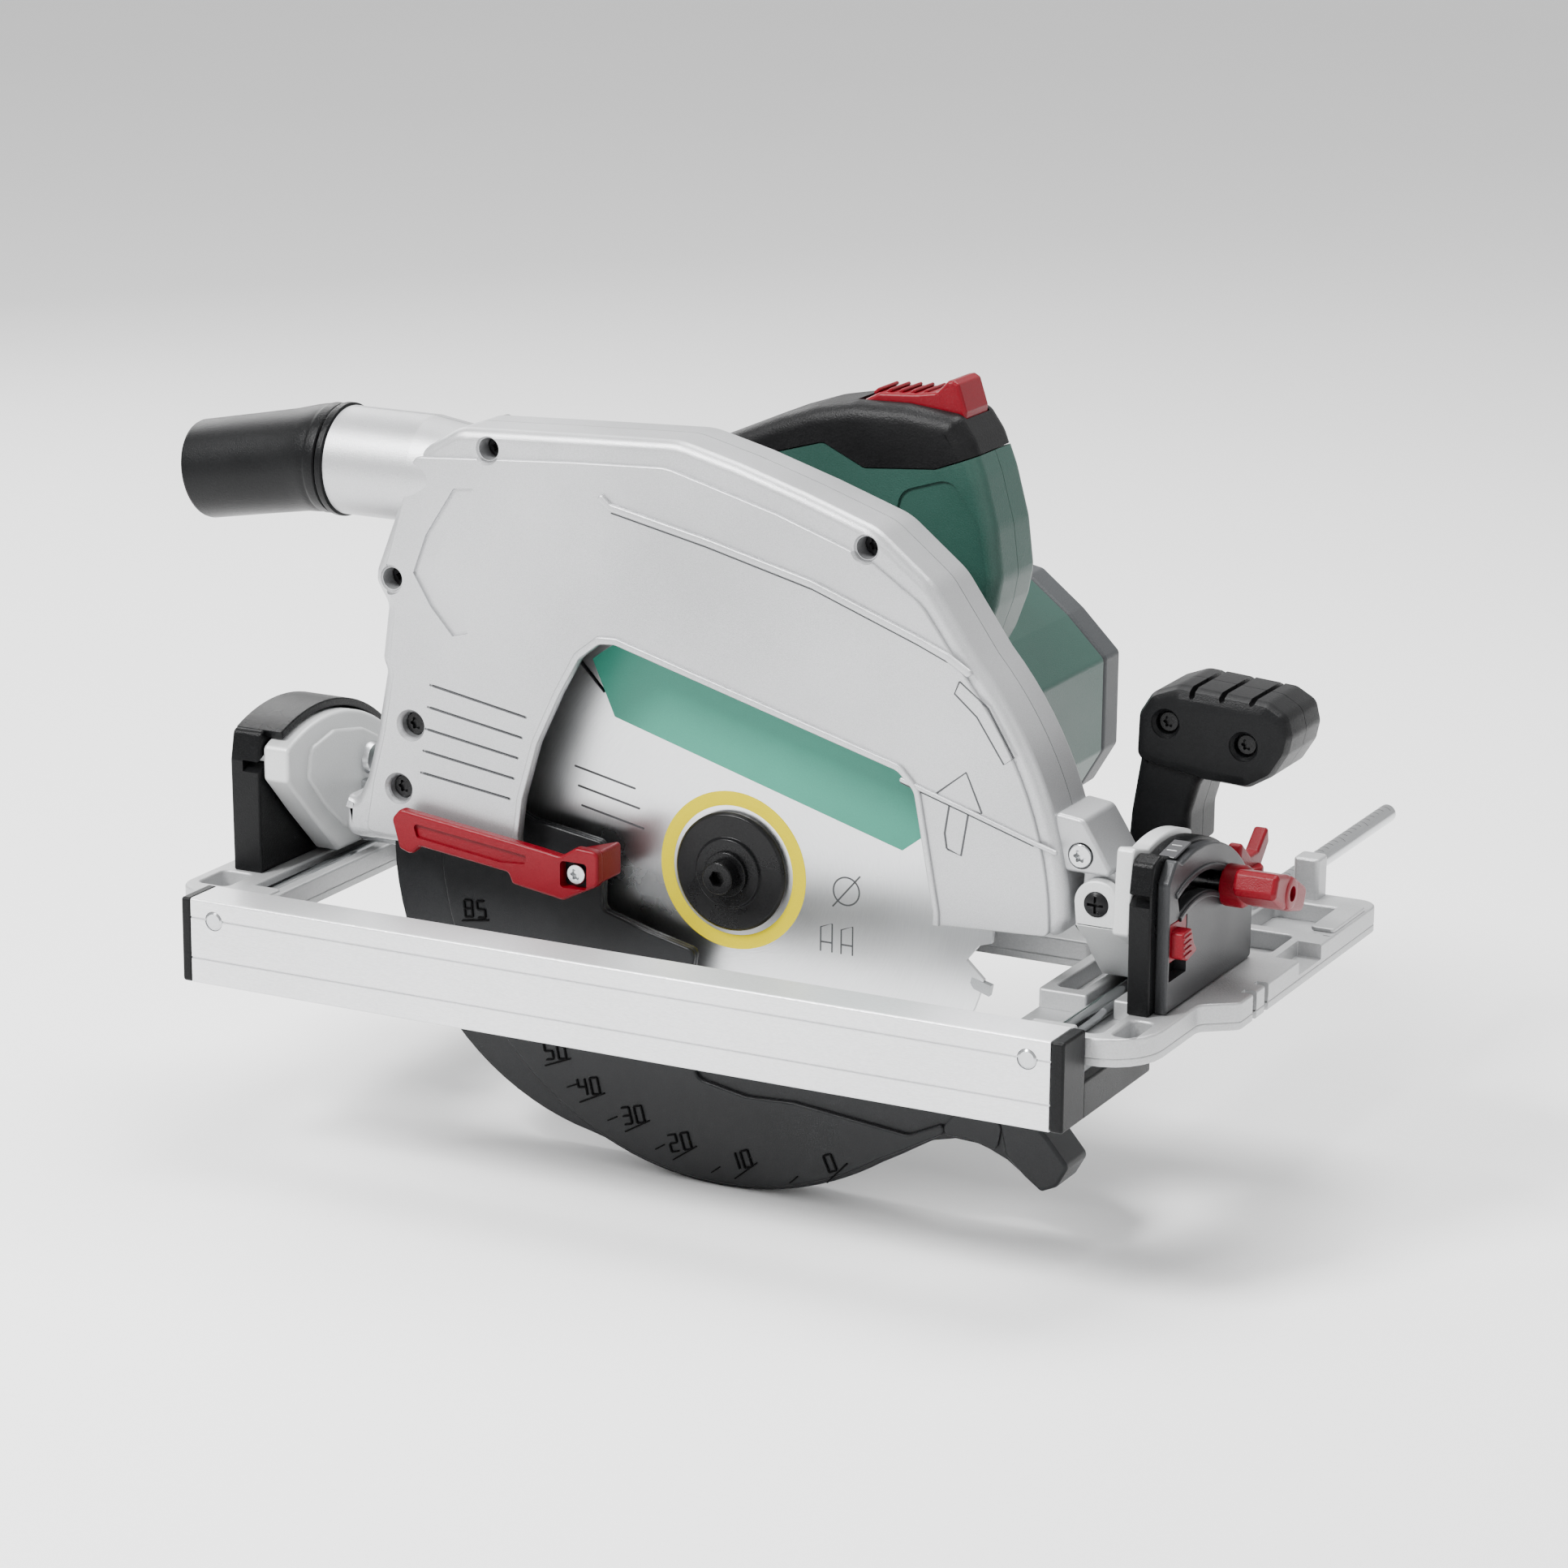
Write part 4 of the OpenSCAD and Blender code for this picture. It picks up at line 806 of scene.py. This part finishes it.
# ---------- base plate ----------
base_out = rounded([(-222, -66), (203, -66), (203, -10), (216, 0), (216, 150), (-222, 150)],
    [12, 22, 6, 4, 8, 14])
opening = [(-178, -60), (141, -60), (141, 42), (-178, 42)]
wide_opening = rounded([(-178, -60), (183.9, -60), (183.9, -20), (172.2, -20), (172.2, 114),
        (161.2, 114), (161.2, -20), (141, -20), (141, 42), (-178, 42)], [6, 4, 2, 1, 2, 2, 1, 2, 8, 8])
pockets = ([(-170 + i * 53, 50, -123 + i * 53, 108) for i in range(6)] +
    [(-170 + i * 53, 114, -123 + i * 53, 143) for i in range(6)])
pockets += [(-217, -56, -203, -36), (-216, 64, -202, 104), (-216, 110, -202, 142), (146, 50, 157, 108),
    (177, 64, 202, 90), (177, 97, 206, 134), (146, -14, 157, 42), (188, -59, 197, -38)]
rear_channel = rounded([(-194.5, -51), (-183.5, -51), (-183.5, 114), (-194.5, 114)], 2)
floor_layer = plate([base_out, rounded(opening, 8)], 0, 3.4, "z", 0.7, 3)
rib_layer = plate([base_out, wide_opening, rear_channel] + [rounded(rect(*p), 3) for p in pockets],
    2.9, 11, "z", 1.0, 4)
notches = ([block((211, y, -1), (218, y + 4, 13), 0.3) for y in (12, 24)] +
    [block((206, 60, 5), (218, 84, 13), 0.3)])
holes = [disc(4.1, -80, 160, (x, ROD_Z), "y", 0) for x in RODS]
boss = []
for x in RODS:
    boss.append(slab([(x - 9, 114), (x + 9, 114), (x + 9, 150), (x - 9, 150)], 3, 2, 15, "z", 1.2, 4))
    boss.append(slab([(x - 9, -66), (x + 9, -66), (x + 9, -60.2 if x > 0 else -51),
            (x - 9, -60.2 if x > 0 else -51)], 1.5, 2, 13.5 if x > 0 else 12, "z", 1.0, 4))
small = [slab(rect(-216, -24 + 20 * i, -202, -12 + 20 * i), 2, 10.8, 12.0, "z", 0.5, 2) for i in range(2)]
front_marks = [strip([(212.0, y), (215.0, y)], 0.7, 10.9, 11.3, "z", 0.1, 1)
    for y in (96, 104, 112, 120, 128)]
base_mesh = joined(carve([floor_layer, rib_layer], *notches, *holes),
    carve(boss, *holes, *[disc(3.1, 5, 16, (x, 128), "z", 0) for x in RODS]),
    slab(rect(182, 139, 193, 150), 2, 2, 28, "z", 1.2, 4),
    slab(rect(205, 100, 215, 136), 2, 10.8, 12.6, "z", 0.6, 3), *small, *front_marks)
piece("base_casting", base_mesh, cast, "base", ["base_plate"])

# ---------- bevel quadrants ----------
CENTRE = (0, 0)
quadrant_line = rounded([(-34, 11), (57, 11), (57, 42)] + arc(CENTRE, 71, 36.5, 103, 20) +
    [(-26, 72), (-32.5, 70), (-35, 58)], [0.5, 2, 3] + [0] * 21 + [2, 3, 3], 4)
slot_loop = ring_part(CENTRE, 58.8, 51.2, 57, 110)
tab_groove = cut([ring_part(CENTRE, 68, 64, 50, 125, 20)], 180, 192, "x")
seat = block((191.5, -27.3, 23.7), (200, -10.7, 46.3), 0)
black_cheek = minus(plate([quadrant_line, slot_loop], 183.5, 192.5, "x", 0.9, 3), tab_groove)
face_line = rounded([(-29, 11.2), (56, 11.2), (56, 41.5)] + arc(CENTRE, 69.5, 37, 104, 20) +
    [(-22, 70), (-29, 62)], [0.5, 2, 3] + [0] * 21 + [2, 3], 4)
grey_face = minus(plate([face_line, slot_loop], 192.2, 197.4, "x", 1.0, 3), seat)
rim_strip = plate([ring_part(CENTRE, 61.5, 59.3, 56, 112)], 196.8, 198.3, "x", 0.5, 3)
rim_strip2 = plate([ring_part(CENTRE, 50.6, 48.6, 56, 112)], 196.8, 198.3, "x", 0.5, 3)
piece("quadrant_front_cheek", black_cheek, black, "base", ["front_quadrant"])
piece("quadrant_front_face", joined(grey_face, rim_strip, rim_strip2), dark_cast, "base")
# Painted shade: a dark plate fills the scale window.
window_shade_plate = block((187.8, -7.6, 70.4), (194.6, 7.6, 71.5), 0.3)
piece("quadrant_window_painted_shade", turned(window_shade_plate, "X", 8, (0, 0, 0)), painted_shade_dark, "base")
deg_marks = [turned(block((189, -0.25, 71.3), (193 if i % 3 else 194, 0.25, 71.6), 0), "X", 2 + 4 * i,
        (0, 0, 0)) for i in range(4)]
piece("quadrant_front_scale", joined(*deg_marks), light_cast, "base")
rear_lip = joined(plate([ring_part(CENTRE, 77, 73.6, 36, 113)], -201, -192, "x", 0.6, 3),
    plate([ring_part(CENTRE, 77, 70, 36, 113)], -214, -200, "x", 0.6, 3))
rear_groove = cut([ring_part(CENTRE, 68, 64, 50, 125, 20)], -208, -198, "x")
piece("quadrant_rear",
    joined(minus(plate([quadrant_line, slot_loop], -214, -200.3, "x", 1.0, 3), rear_groove), rear_lip),
    black, "base", ["rear_quadrant"])
sector_tab = plate([ring_part(CENTRE, 67.5, 64.5, 52, 117)], 182.5, 191.2, "x", 0.4, 2)
front_line = rounded([(-33, 41), (-15.5, 32.2), (4.5, 12.7), (56, 12.7), (56, 46)] +
    arc(CENTRE, 72.8, 39, 103, 20) + [(-30, 74.5)], [2, 2, 2, 2, 3] + [0] * 21 + [2], 4)
front_sec = minus(plate([front_line], 176.2, 183.2, "x", 0.9, 3),
    block((170, 25.6, 56.6), (190, 70, 90), 0))
piece("sector_front", joined(front_sec, sector_tab), light_cast, "bevel_frame", ["front_sector"])
rear_line = rounded([(-33, 51), (-16, 33), (4.5, 12.8), (56, 12.8), (56, 46)] +
    arc(CENTRE, 72.6, 39, 117, 24), [3, 2, 2, 2, 3] + [0] * 24 + [3], 4)
rear_sec = joined(plate([rear_line], -199.6, -187.2, "x", 1.9, 4),
    slab([(-20, 50), (-8, 36), (8, 22), (46, 22), (46, 44), (38, 54), (22, 62), (0, 66), (-18, 62)], 5,
        -188.5, -185.4, "x", 1.4, 4),
    plate([ring_part(CENTRE, 67.5, 64.5, 52, 117)], -207.2, -199, "x", 0.4, 2))
piece("sector_rear", rear_sec, light_cast, "bevel_frame", ["rear_sector"])
piece("bolt_heads", joined(lathe([(0, -181.6), (3.0, -181.8), (6.0, -183.0), (7, -184.6), (7, -186.2),
                (0, -186.2)], BOLT, "x", 48, False), disc(3, -230, -186, BOLT, "x", 0.3, 32),
        disc(3, 178, 214, BOLT, "x", 0.3, 32)), steel, "bevel_frame", ["bevel_bolts"])
paint([("quadrant_screws", steel)])

# ---------- front bracket and pivot ----------
foot_line = rounded([(-22, 38.9), (-15, 31.9), (-13.5, 31.9), (-6.5, 23.4), (4.5, 12.4), (62, 12.4),
        (62, 38.6), (-22, 39.2)], [0.2, 0.5, 0.5, 1, 1, 2, 2, 0.2])
foot = plate([foot_line], 156.6, 175.6, "x", 0.7, 3)
arms = [minus(slab([(156.7, low), (175.4, low)] + arc(PIVOT, 9.2, 0, 180, 20), [0.5, 0.5] + [0] * 21,
            y0, y1, "y", 0.9, 3), disc(5.05, -24, 14, PIVOT, "y", 0))
    for low, y0, y1 in ((38.7, -22, -16.2), (30, 6.4, 12))]
fore = [slab(rect(154.5, 24, 175.6, 64), 2, 34, 48.2, "z", 0.8, 3),
    slab([(170, 22), (175.5, 22), (175.5, 30), (172, 34), (168, 30)], 1, -5, 4, "y", 0.4, 2)]
piece("bracket", joined(foot, *arms, *fore), light_cast, "bevel_frame", ["front_bracket"])
pin = lathe([(0, -23.3), (3.4, -23.2), (4.9, -22.4), (5.0, -21.6), (5.0, 12), (6.2, 12.2), (6.2, 15.2),
        (5.8, 15.5), (0, 15.5)], PIVOT, "y", 48, False)
pin = minus(pin,
    block((PIVOT[0] - 3.3, -25, PIVOT[1] - 0.55), (PIVOT[0] + 3.3, -21.6, PIVOT[1] + 0.55), 0),
    block((PIVOT[0] - 0.55, -25, PIVOT[1] - 3.3), (PIVOT[0] + 0.55, -21.6, PIVOT[1] + 3.3), 0))
piece("pivot_head", pin, black_steel, "bevel_frame", ["pivot_screw"])
strap = rounded(ring_part(PIVOT, 321, 307, 186, 151.5, 40), [0] * 40 + [6.5, 6.5] + [0] * 40)
strap_slot = ring_part(PIVOT, 317.4, 310.6, 184.4, 152.4, 40)
piece("depth_strap", joined(plate([strap, strap_slot], 19.1, 24.2, "y", 0.8, 3),
        slab(rect(-187, 14, -155, 40), 2, 19.1, 24.2, "y", 0.8, 3)), steel, "bevel_frame",
    ["depth_guide"])

# ---------- knobs, clamps and small controls ----------
def wing_knob(x, s):
    """A paddle knob along X, pointing towards s."""
    out = [lathe([(8, 0), (8.3, 1), (8.3, 7.5), (7.4, 9), (6.6, 9.6), (6.6, 25.5), (6, 26.6), (5, 27),
            (3.05, 27), (3.05, 0)], (0, 0), "x", 48)]
    blade_line = rounded([(-5.0, -16), (-3, -17.4), (3, -17.4), (5.0, -16), (6.6, -4), (6.6, 4),
            (5.0, 16), (3, 17.4), (-3, 17.4), (-5.0, 16), (-6.6, 4), (-6.6, -4)], 1.6, 4)
    out.append(minus(plate([blade_line], 8.6, 26.4, "x", 2.0, 4), disc(3.1, -1, 30, (0, 0), "x", 0)))
    me = joined(*out)
    m = Matrix.Translation(Vector((x, BOLT[0], BOLT[1])) * MM) @ Matrix.Rotation(math.radians(68), 4, "X")
    if s < 0:
        m = m @ Matrix.Rotation(math.pi, 4, "Z")
    return moved(me, m)


piece("knob_front", wing_knob(197.9, 1), red, "front_knob", ["front_bevel_knob"])
piece("knob_rear", wing_knob(-214.4, -1), red, "rear_knob", ["rear_bevel_knob"])
slider = joined(block((191.9, -27, 31), (197.3, -11, 46), 0.5),
    slab([(-26, 43), (-26, 33), (-21, 31.2), (-11.5, 33.2), (-15, 36.6), (-18, 43.4)],
        [1.5, 1, 1.5, 1, 1, 1.5], 196.8, 202.4, "x", 0.8, 3),
    *[turned(block((197, -25.6, 33.6 + 2.3 * i), (202.9, -18.5, 34.6 + 2.3 * i), 0.3), "X", 4,
            (200, -22, 38)) for i in range(4)])
piece("stop_slider_red", slider, red, "stop_slider", ["bevel_stop_slider"])
for x, body, node in ((RODS[0], "front_clamp", "front_rod_clamp"),
        (RODS[1], "rear_clamp", "rear_rod_clamp")):
    wing_line = rounded([(-6, 21.4), (6, 21.4), (16, 31.4), (15, 37.4), (13, 37.8), (4, 30.6),
            (-4, 30.6), (-13, 37.8), (-15, 37.4), (-16, 31.4)], 1.2, 4)
    wing = joined(plate([wing_line], 125, 131, "y", 1.4, 4),
        disc(6.6, 15.5, 25.4, (0, 128), "z", 1.2, 48), disc(3, 10.6, 16, (0, 128), "z", 0.3, 32))
    wing = turned(wing, "Z", 90, (0, 128, 0))
    piece("clamp_" + body, moved(wing, Matrix.Translation(Vector((x, 0, 0)) * MM)), red, body, [node])
lever_d = joined(disc(9, 24.8, 34, (-148.5, 31), "y", 1.2),
    disc(3, 11.4, 33, (-148.5, 31), "y", 0.2, 32), slab([(-156, 26), (-141, 26), (-134.5, 60),
            (-132, 82), (-136, 86), (-141, 86), (-146, 60)], [5, 5, 20, 3, 3, 3, 20], 27.4, 33.8, "y",
        1.8, 4))
piece("lever_depth", lever_d, black, "depth_lever", ["depth_lock_lever"])
piece("lock_pin_button",
    joined(disc(5, 33.8, 37.8, (-27, 60), "y", 1.0, 48), disc(3, 37, 57, (-27, 60), "y", 0.2, 32)),
    black, "spindle_lock", ["spindle_lock"])

# ---------- front handle ----------
head_line = [(158, 92), (170, 89.5), (186, 87), (204, 86), (214, 92), (219.5, 101), (221, 108),
    (219, 116), (211, 120.5), (175, 123.2), (164, 119), (158.5, 110)]
neck_line = [(154, 48.4), (175.4, 48.4), (175.4, 57.2), (180, 57.2), (180, 72), (184, 86), (192, 92),
    (192, 100), (160, 100), (158.5, 90), (155.5, 70)]
aux_half = block((120, 45, 0), (260, 90, 200), 0)
aux_other = block((120, 0, 0), (260, 45, 200), 0)
cross_cuts = [cut([[(x - 1.1, 130), (x + 1.1, 130), (x + 1.3, 119.6), (x + 0.7, 118.6),
            (x - 0.3, 118.6), (x - 0.9, 119.6)]], 20, 70) for x in (181, 193, 205)]
AUX_SCREWS = [(171, 108), (203, 103)]
aux_full = [plate([rounded(head_line, [5, 6, 6, 7, 6, 5, 6, 6, 6, 8, 7, 6], 5)], 26, 64, "y", 4.6, 1),
    plate([rounded(neck_line, [2, 1, 1, 2, 12, 8, 2, 2, 2, 8, 14], 5)], 29.5, 60.5, "y", 4.2, 5)]
aux_near = carve(aux_full, moved(aux_half, Matrix.Translation((0, -0.00015, 0))), *cross_cuts,
    *[lathe([(0, 25), (6.0, 25), (5.8, 26.6), (4.6, 28), (4.6, 31.5), (0, 31.5)], c, "y", 48, False)
        for c in AUX_SCREWS])
aux_far = carve(aux_full, moved(aux_other, Matrix.Translation((0, 0.00015, 0))), *cross_cuts)
piece("grip_front_near", aux_near, black, "bevel_frame", ["aux_handle_near"])
piece("grip_front_far", aux_far, black, "bevel_frame", ["aux_handle_far"])
piece("grip_front_screws", joined(*[torx(c, 4.0, 29.5, 2.4) for c in AUX_SCREWS],
        *[disc(1.9, 31, 57, c, "y", 0.1, 24) for c in AUX_SCREWS]), black_steel, "bevel_frame",
    ["aux_handle_screws"])

# ---------- main handle ----------
loop_line = [(66, 97.6), (77, 112), (84, 125), (89, 139), (91, 150), (88.5, 170), (83, 190),
    (77.5, 204), (71, 213), (48, 215.5), (26, 215), (8, 211.5), (-8, 206), (-40, 192), (-72, 178),
    (-82, 169), (-86, 160), (-84, 148), (-76, 133), (-66, 118), (-52, 104), (-38.5, 102.8),
    (-20.3, 119.6), (10, 125.7), (40.2, 119.7), (59.3, 104.6)]
loop_out = rounded(loop_line,
    [2, 10, 14, 14, 16, 30, 30, 14, 6, 10, 20, 30, 30, 30, 16, 10, 12, 14, 30, 30, 8, 1, 1, 1, 1, 1], 5)
gap_line = [(-50, 133), (-20, 133.5), (10, 134.5), (28, 140), (34, 156), (30, 168), (14, 176),
    (-22, 170), (-54, 158), (-60, 146)]
gap_in = rounded(gap_line, [8, 20, 10, 10, 8, 6, 8, 20, 8, 8], 5)
zone = [(100, 206), (79, 198), (63, 192), (32, 189.5), (14, 198), (-7, 192), (-12, 182), (-12, 166),
    (-40, 156), (-66, 156), (-78, 154), (-100, 164), (-100, 230), (100, 230)]
zone_in = rounded(inset(zone, 0.25), [0, 6, 6, 6, 6, 5, 4, 0, 0, 4, 4, 0, 0, 0], 4)
zone_out = rounded(inset(zone, -0.25), [0, 6, 6, 6, 6, 5, 4, 0, 0, 4, 4, 0, 0, 0], 4)
green_loop = plate([loop_out, gap_in], 46, 84, "y", 6.0, 7)
grip_loop = plate([loop_out, gap_in], 45.5, 84.5, "y", 7.5, 7)
side_a = block((-200, 64.85, 0), (200, 120, 300), 0)
side_b = block((-200, 0, 0), (200, 65.15, 300), 0)
well = block((9, 54.2, 150), (39.6, 75.8, 186), 0)
cheek_line = rounded([(84, 131), (86, 150), (82, 172), (70, 189), (48, 182), (44, 160), (62, 136)], 8)
cheek = cut([cheek_line], 30, 47.0)
cheek_b = cut([cheek_line], 83.0, 100)
zone_cut = cut([zone_out], 30, 100)
piece("handle_shell_near", minus(green_loop, zone_cut, side_a, well, cheek), green, "saw_head",
    ["handle_near"])
piece("handle_shell_far", minus(green_loop, zone_cut, side_b, well, cheek_b), green, "saw_head",
    ["handle_far"])
button_pocket = block((24.9, 53.9, 205), (72.2, 76.1, 225), 1.0, 3)
soft = combine(grip_loop, cut([zone_in], 30, 100), "INTERSECT")
piece("handle_soft_grip", minus(soft, button_pocket, well), rubber, "saw_head", ["handle_grip"])
button_line = [(27.2, 208.5), (71.7, 208.5), (71.9, 214), (68.4, 224.5), (66, 225.9), (63.6, 225.4),
    (59, 220.6), (50, 219.2), (34, 218.2), (27.2, 214.5)]
button = slab(button_line, [0, 0, 2, 1.5, 1, 1, 3, 3, 4, 2], 54.2, 75.8, "y", 1.6, 4)
nubs = [strip([(31 + 5.2 * i, 217.2 + 0.35 * i), (33.6 + 5.2 * i, 219.4 + 0.3 * i)], 1.5, 56.5, 73.5,
        "y", 0.5, 2) for i in range(6)]
piece("button_red", joined(button, *nubs), red, "lock_button", ["lock_off_button"])
trig_line = rounded([(12.4, 164.2), (17, 162.6), (30, 162.2), (36, 163), (38.8, 170), (38.8, 179.8),
        (12.4, 179.8)], [2, 3, 3, 2, 2, 0.5, 0.5])
piece("trigger_red", plate([trig_line], 56.2, 73.8, "y", 2.2, 5), red, "trigger", ["trigger"])
inlet = lathe(rounded([(9, -91), (9, -82), (6, -81.4), (6, -71), (4, -71), (4, -91)],
        [1.2, 0.8, 0.4, 0.4, 0.2, 0.8], 3), (65, 138), "x", 48)
piece("cord_ring", inlet, black, "saw_head", ["cord_inlet"])

# ---------- motor ----------
case_line = [(-44, 46), (-34, 28), (-14, 15), (46, 15), (66, 30), (76, 47), (76, 87), (59, 104),
    (40, 119), (10, 125), (-20, 119), (-38, 102), (-44, 84)]
case_out = rounded(case_line, 3.5, 5)
case_in = inset(case_line, 3)
vents = ([block((x, 172, 116), (x + 4, 184, 130), 0.5) for x in range(-14, 40, 8)] +
    [block((-50, 168, z), (-38, 182, z + 3.2), 0.5) for z in range(50, 84, 7)])
body_m = minus(plate([case_out, case_in], 60.2, 187.6, "y", 0.8, 3), *vents)
piece("motor_shell", body_m, green, "saw_head", ["motor_housing"])
cap_a = plate([case_out, inset(case_line, 9)], 188.1, 206, "y", 3.2, 5)
cap_cut = [disc(3.0, 200, 215,
        (MOTOR[0] + r * math.cos(math.radians(a)), MOTOR[1] + 5 + r * math.sin(math.radians(a))), "y",
        0, 24) for r, k in ((16, 45), (27, 30)) for a in range(0, 360, k)]
CAP_SCREWS = [(-31, 88), (62, 88), (56, 32), (-24, 32)]
cap_b = minus(plate([rounded(inset(case_line, 6), 4, 5)], 203, 210, "y", 2.4, 5), *cap_cut,
    *[disc(4.2, 200, 215, c, "y", 0, 32) for c in CAP_SCREWS])
# Painted shade: a dark plate behind the vent holes of the motor cap.
cap_shade_plate = plate([rounded(inset(case_line, 10), 3, 4)], 201, 203.4, "y", 0.2, 1)
piece("motor_cap",
    joined(minus(cap_a, *[disc(4.2, 199, 215, c, "y", 0, 32) for c in CAP_SCREWS]), cap_b), dark,
    "saw_head", ["motor_end_cap"])
piece("motor_cap_painted_shade", cap_shade_plate, painted_shade_dark, "saw_head", ())
piece("motor_screws", joined(*[torx(c, 3.9, 206.0, -3.0, "y", -1) for c in CAP_SCREWS],
        *[disc(1.9, 189, 203.5, c, "y", 0.1, 24) for c in CAP_SCREWS]), black_steel, "saw_head",
    ["housing_screws"])
paint((("gear_case", silver_painted_shade), ("stator", copper), ("bearings", chrome), ("brush_gear", brass),
    ("switch_module", ivory), ("guard_spring", steel), ("inner_flange", steel), ("spindle", steel),
    ("drive_gear", steel), ("rotor_shaft", steel), ("armature", copper), ("commutator", brass),
    ("cooling_fan", black)))

# ---------- floor, light ----------
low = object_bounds()[0][2]
floor_mesh = bpy.data.meshes.new("floor")
bm = bmesh.new()
bmesh.ops.create_grid(bm, x_segments=1, y_segments=1, size=6)
bmesh.ops.translate(bm, verts=bm.verts, vec=(0, 0, low))
bm.to_mesh(floor_mesh)
bm.free()
floor = bpy.data.objects.new("floor", floor_mesh)
bpy.context.scene.collection.objects.link(floor)
floor_mesh.materials.append(material("floor_pale", (0.95, 0.95, 0.95), 0.0, 0.7, 300, 0.0, 0.01, 2, 0.02))


def lamp(name, place, target, size, power):
    """A square studio lamp."""
    data = bpy.data.lights.new(name, "AREA")
    data.energy, data.size = power, size
    ob = bpy.data.objects.new(name, data)
    bpy.context.scene.collection.objects.link(ob)
    ob.location = place
    ob.rotation_euler = (Vector(target) - Vector(place)).to_track_quat("-Z", "Y").to_euler()


lamp("key", (-0.7, -1.2, 1.5), (0, 0, 0.05), 0.55, 74)
lamp("fill", (1.7, -0.7, 0.7), (0.05, 0, 0.05), 1.0, 5)
lamp("top", (0.1, 0.5, 1.7), (0, 0, 0.05), 1.0, 44)
lamp("rim", (-1.3, 1.0, 0.9), (0, 0.05, 0.1), 0.9, 14)
world = bpy.data.worlds.new("studio")
bpy.context.scene.world = world
world.use_nodes = True
world.node_tree.nodes["Background"].inputs["Color"].default_value = (1, 1, 1, 1)
world.node_tree.nodes["Background"].inputs["Strength"].default_value = 0.85
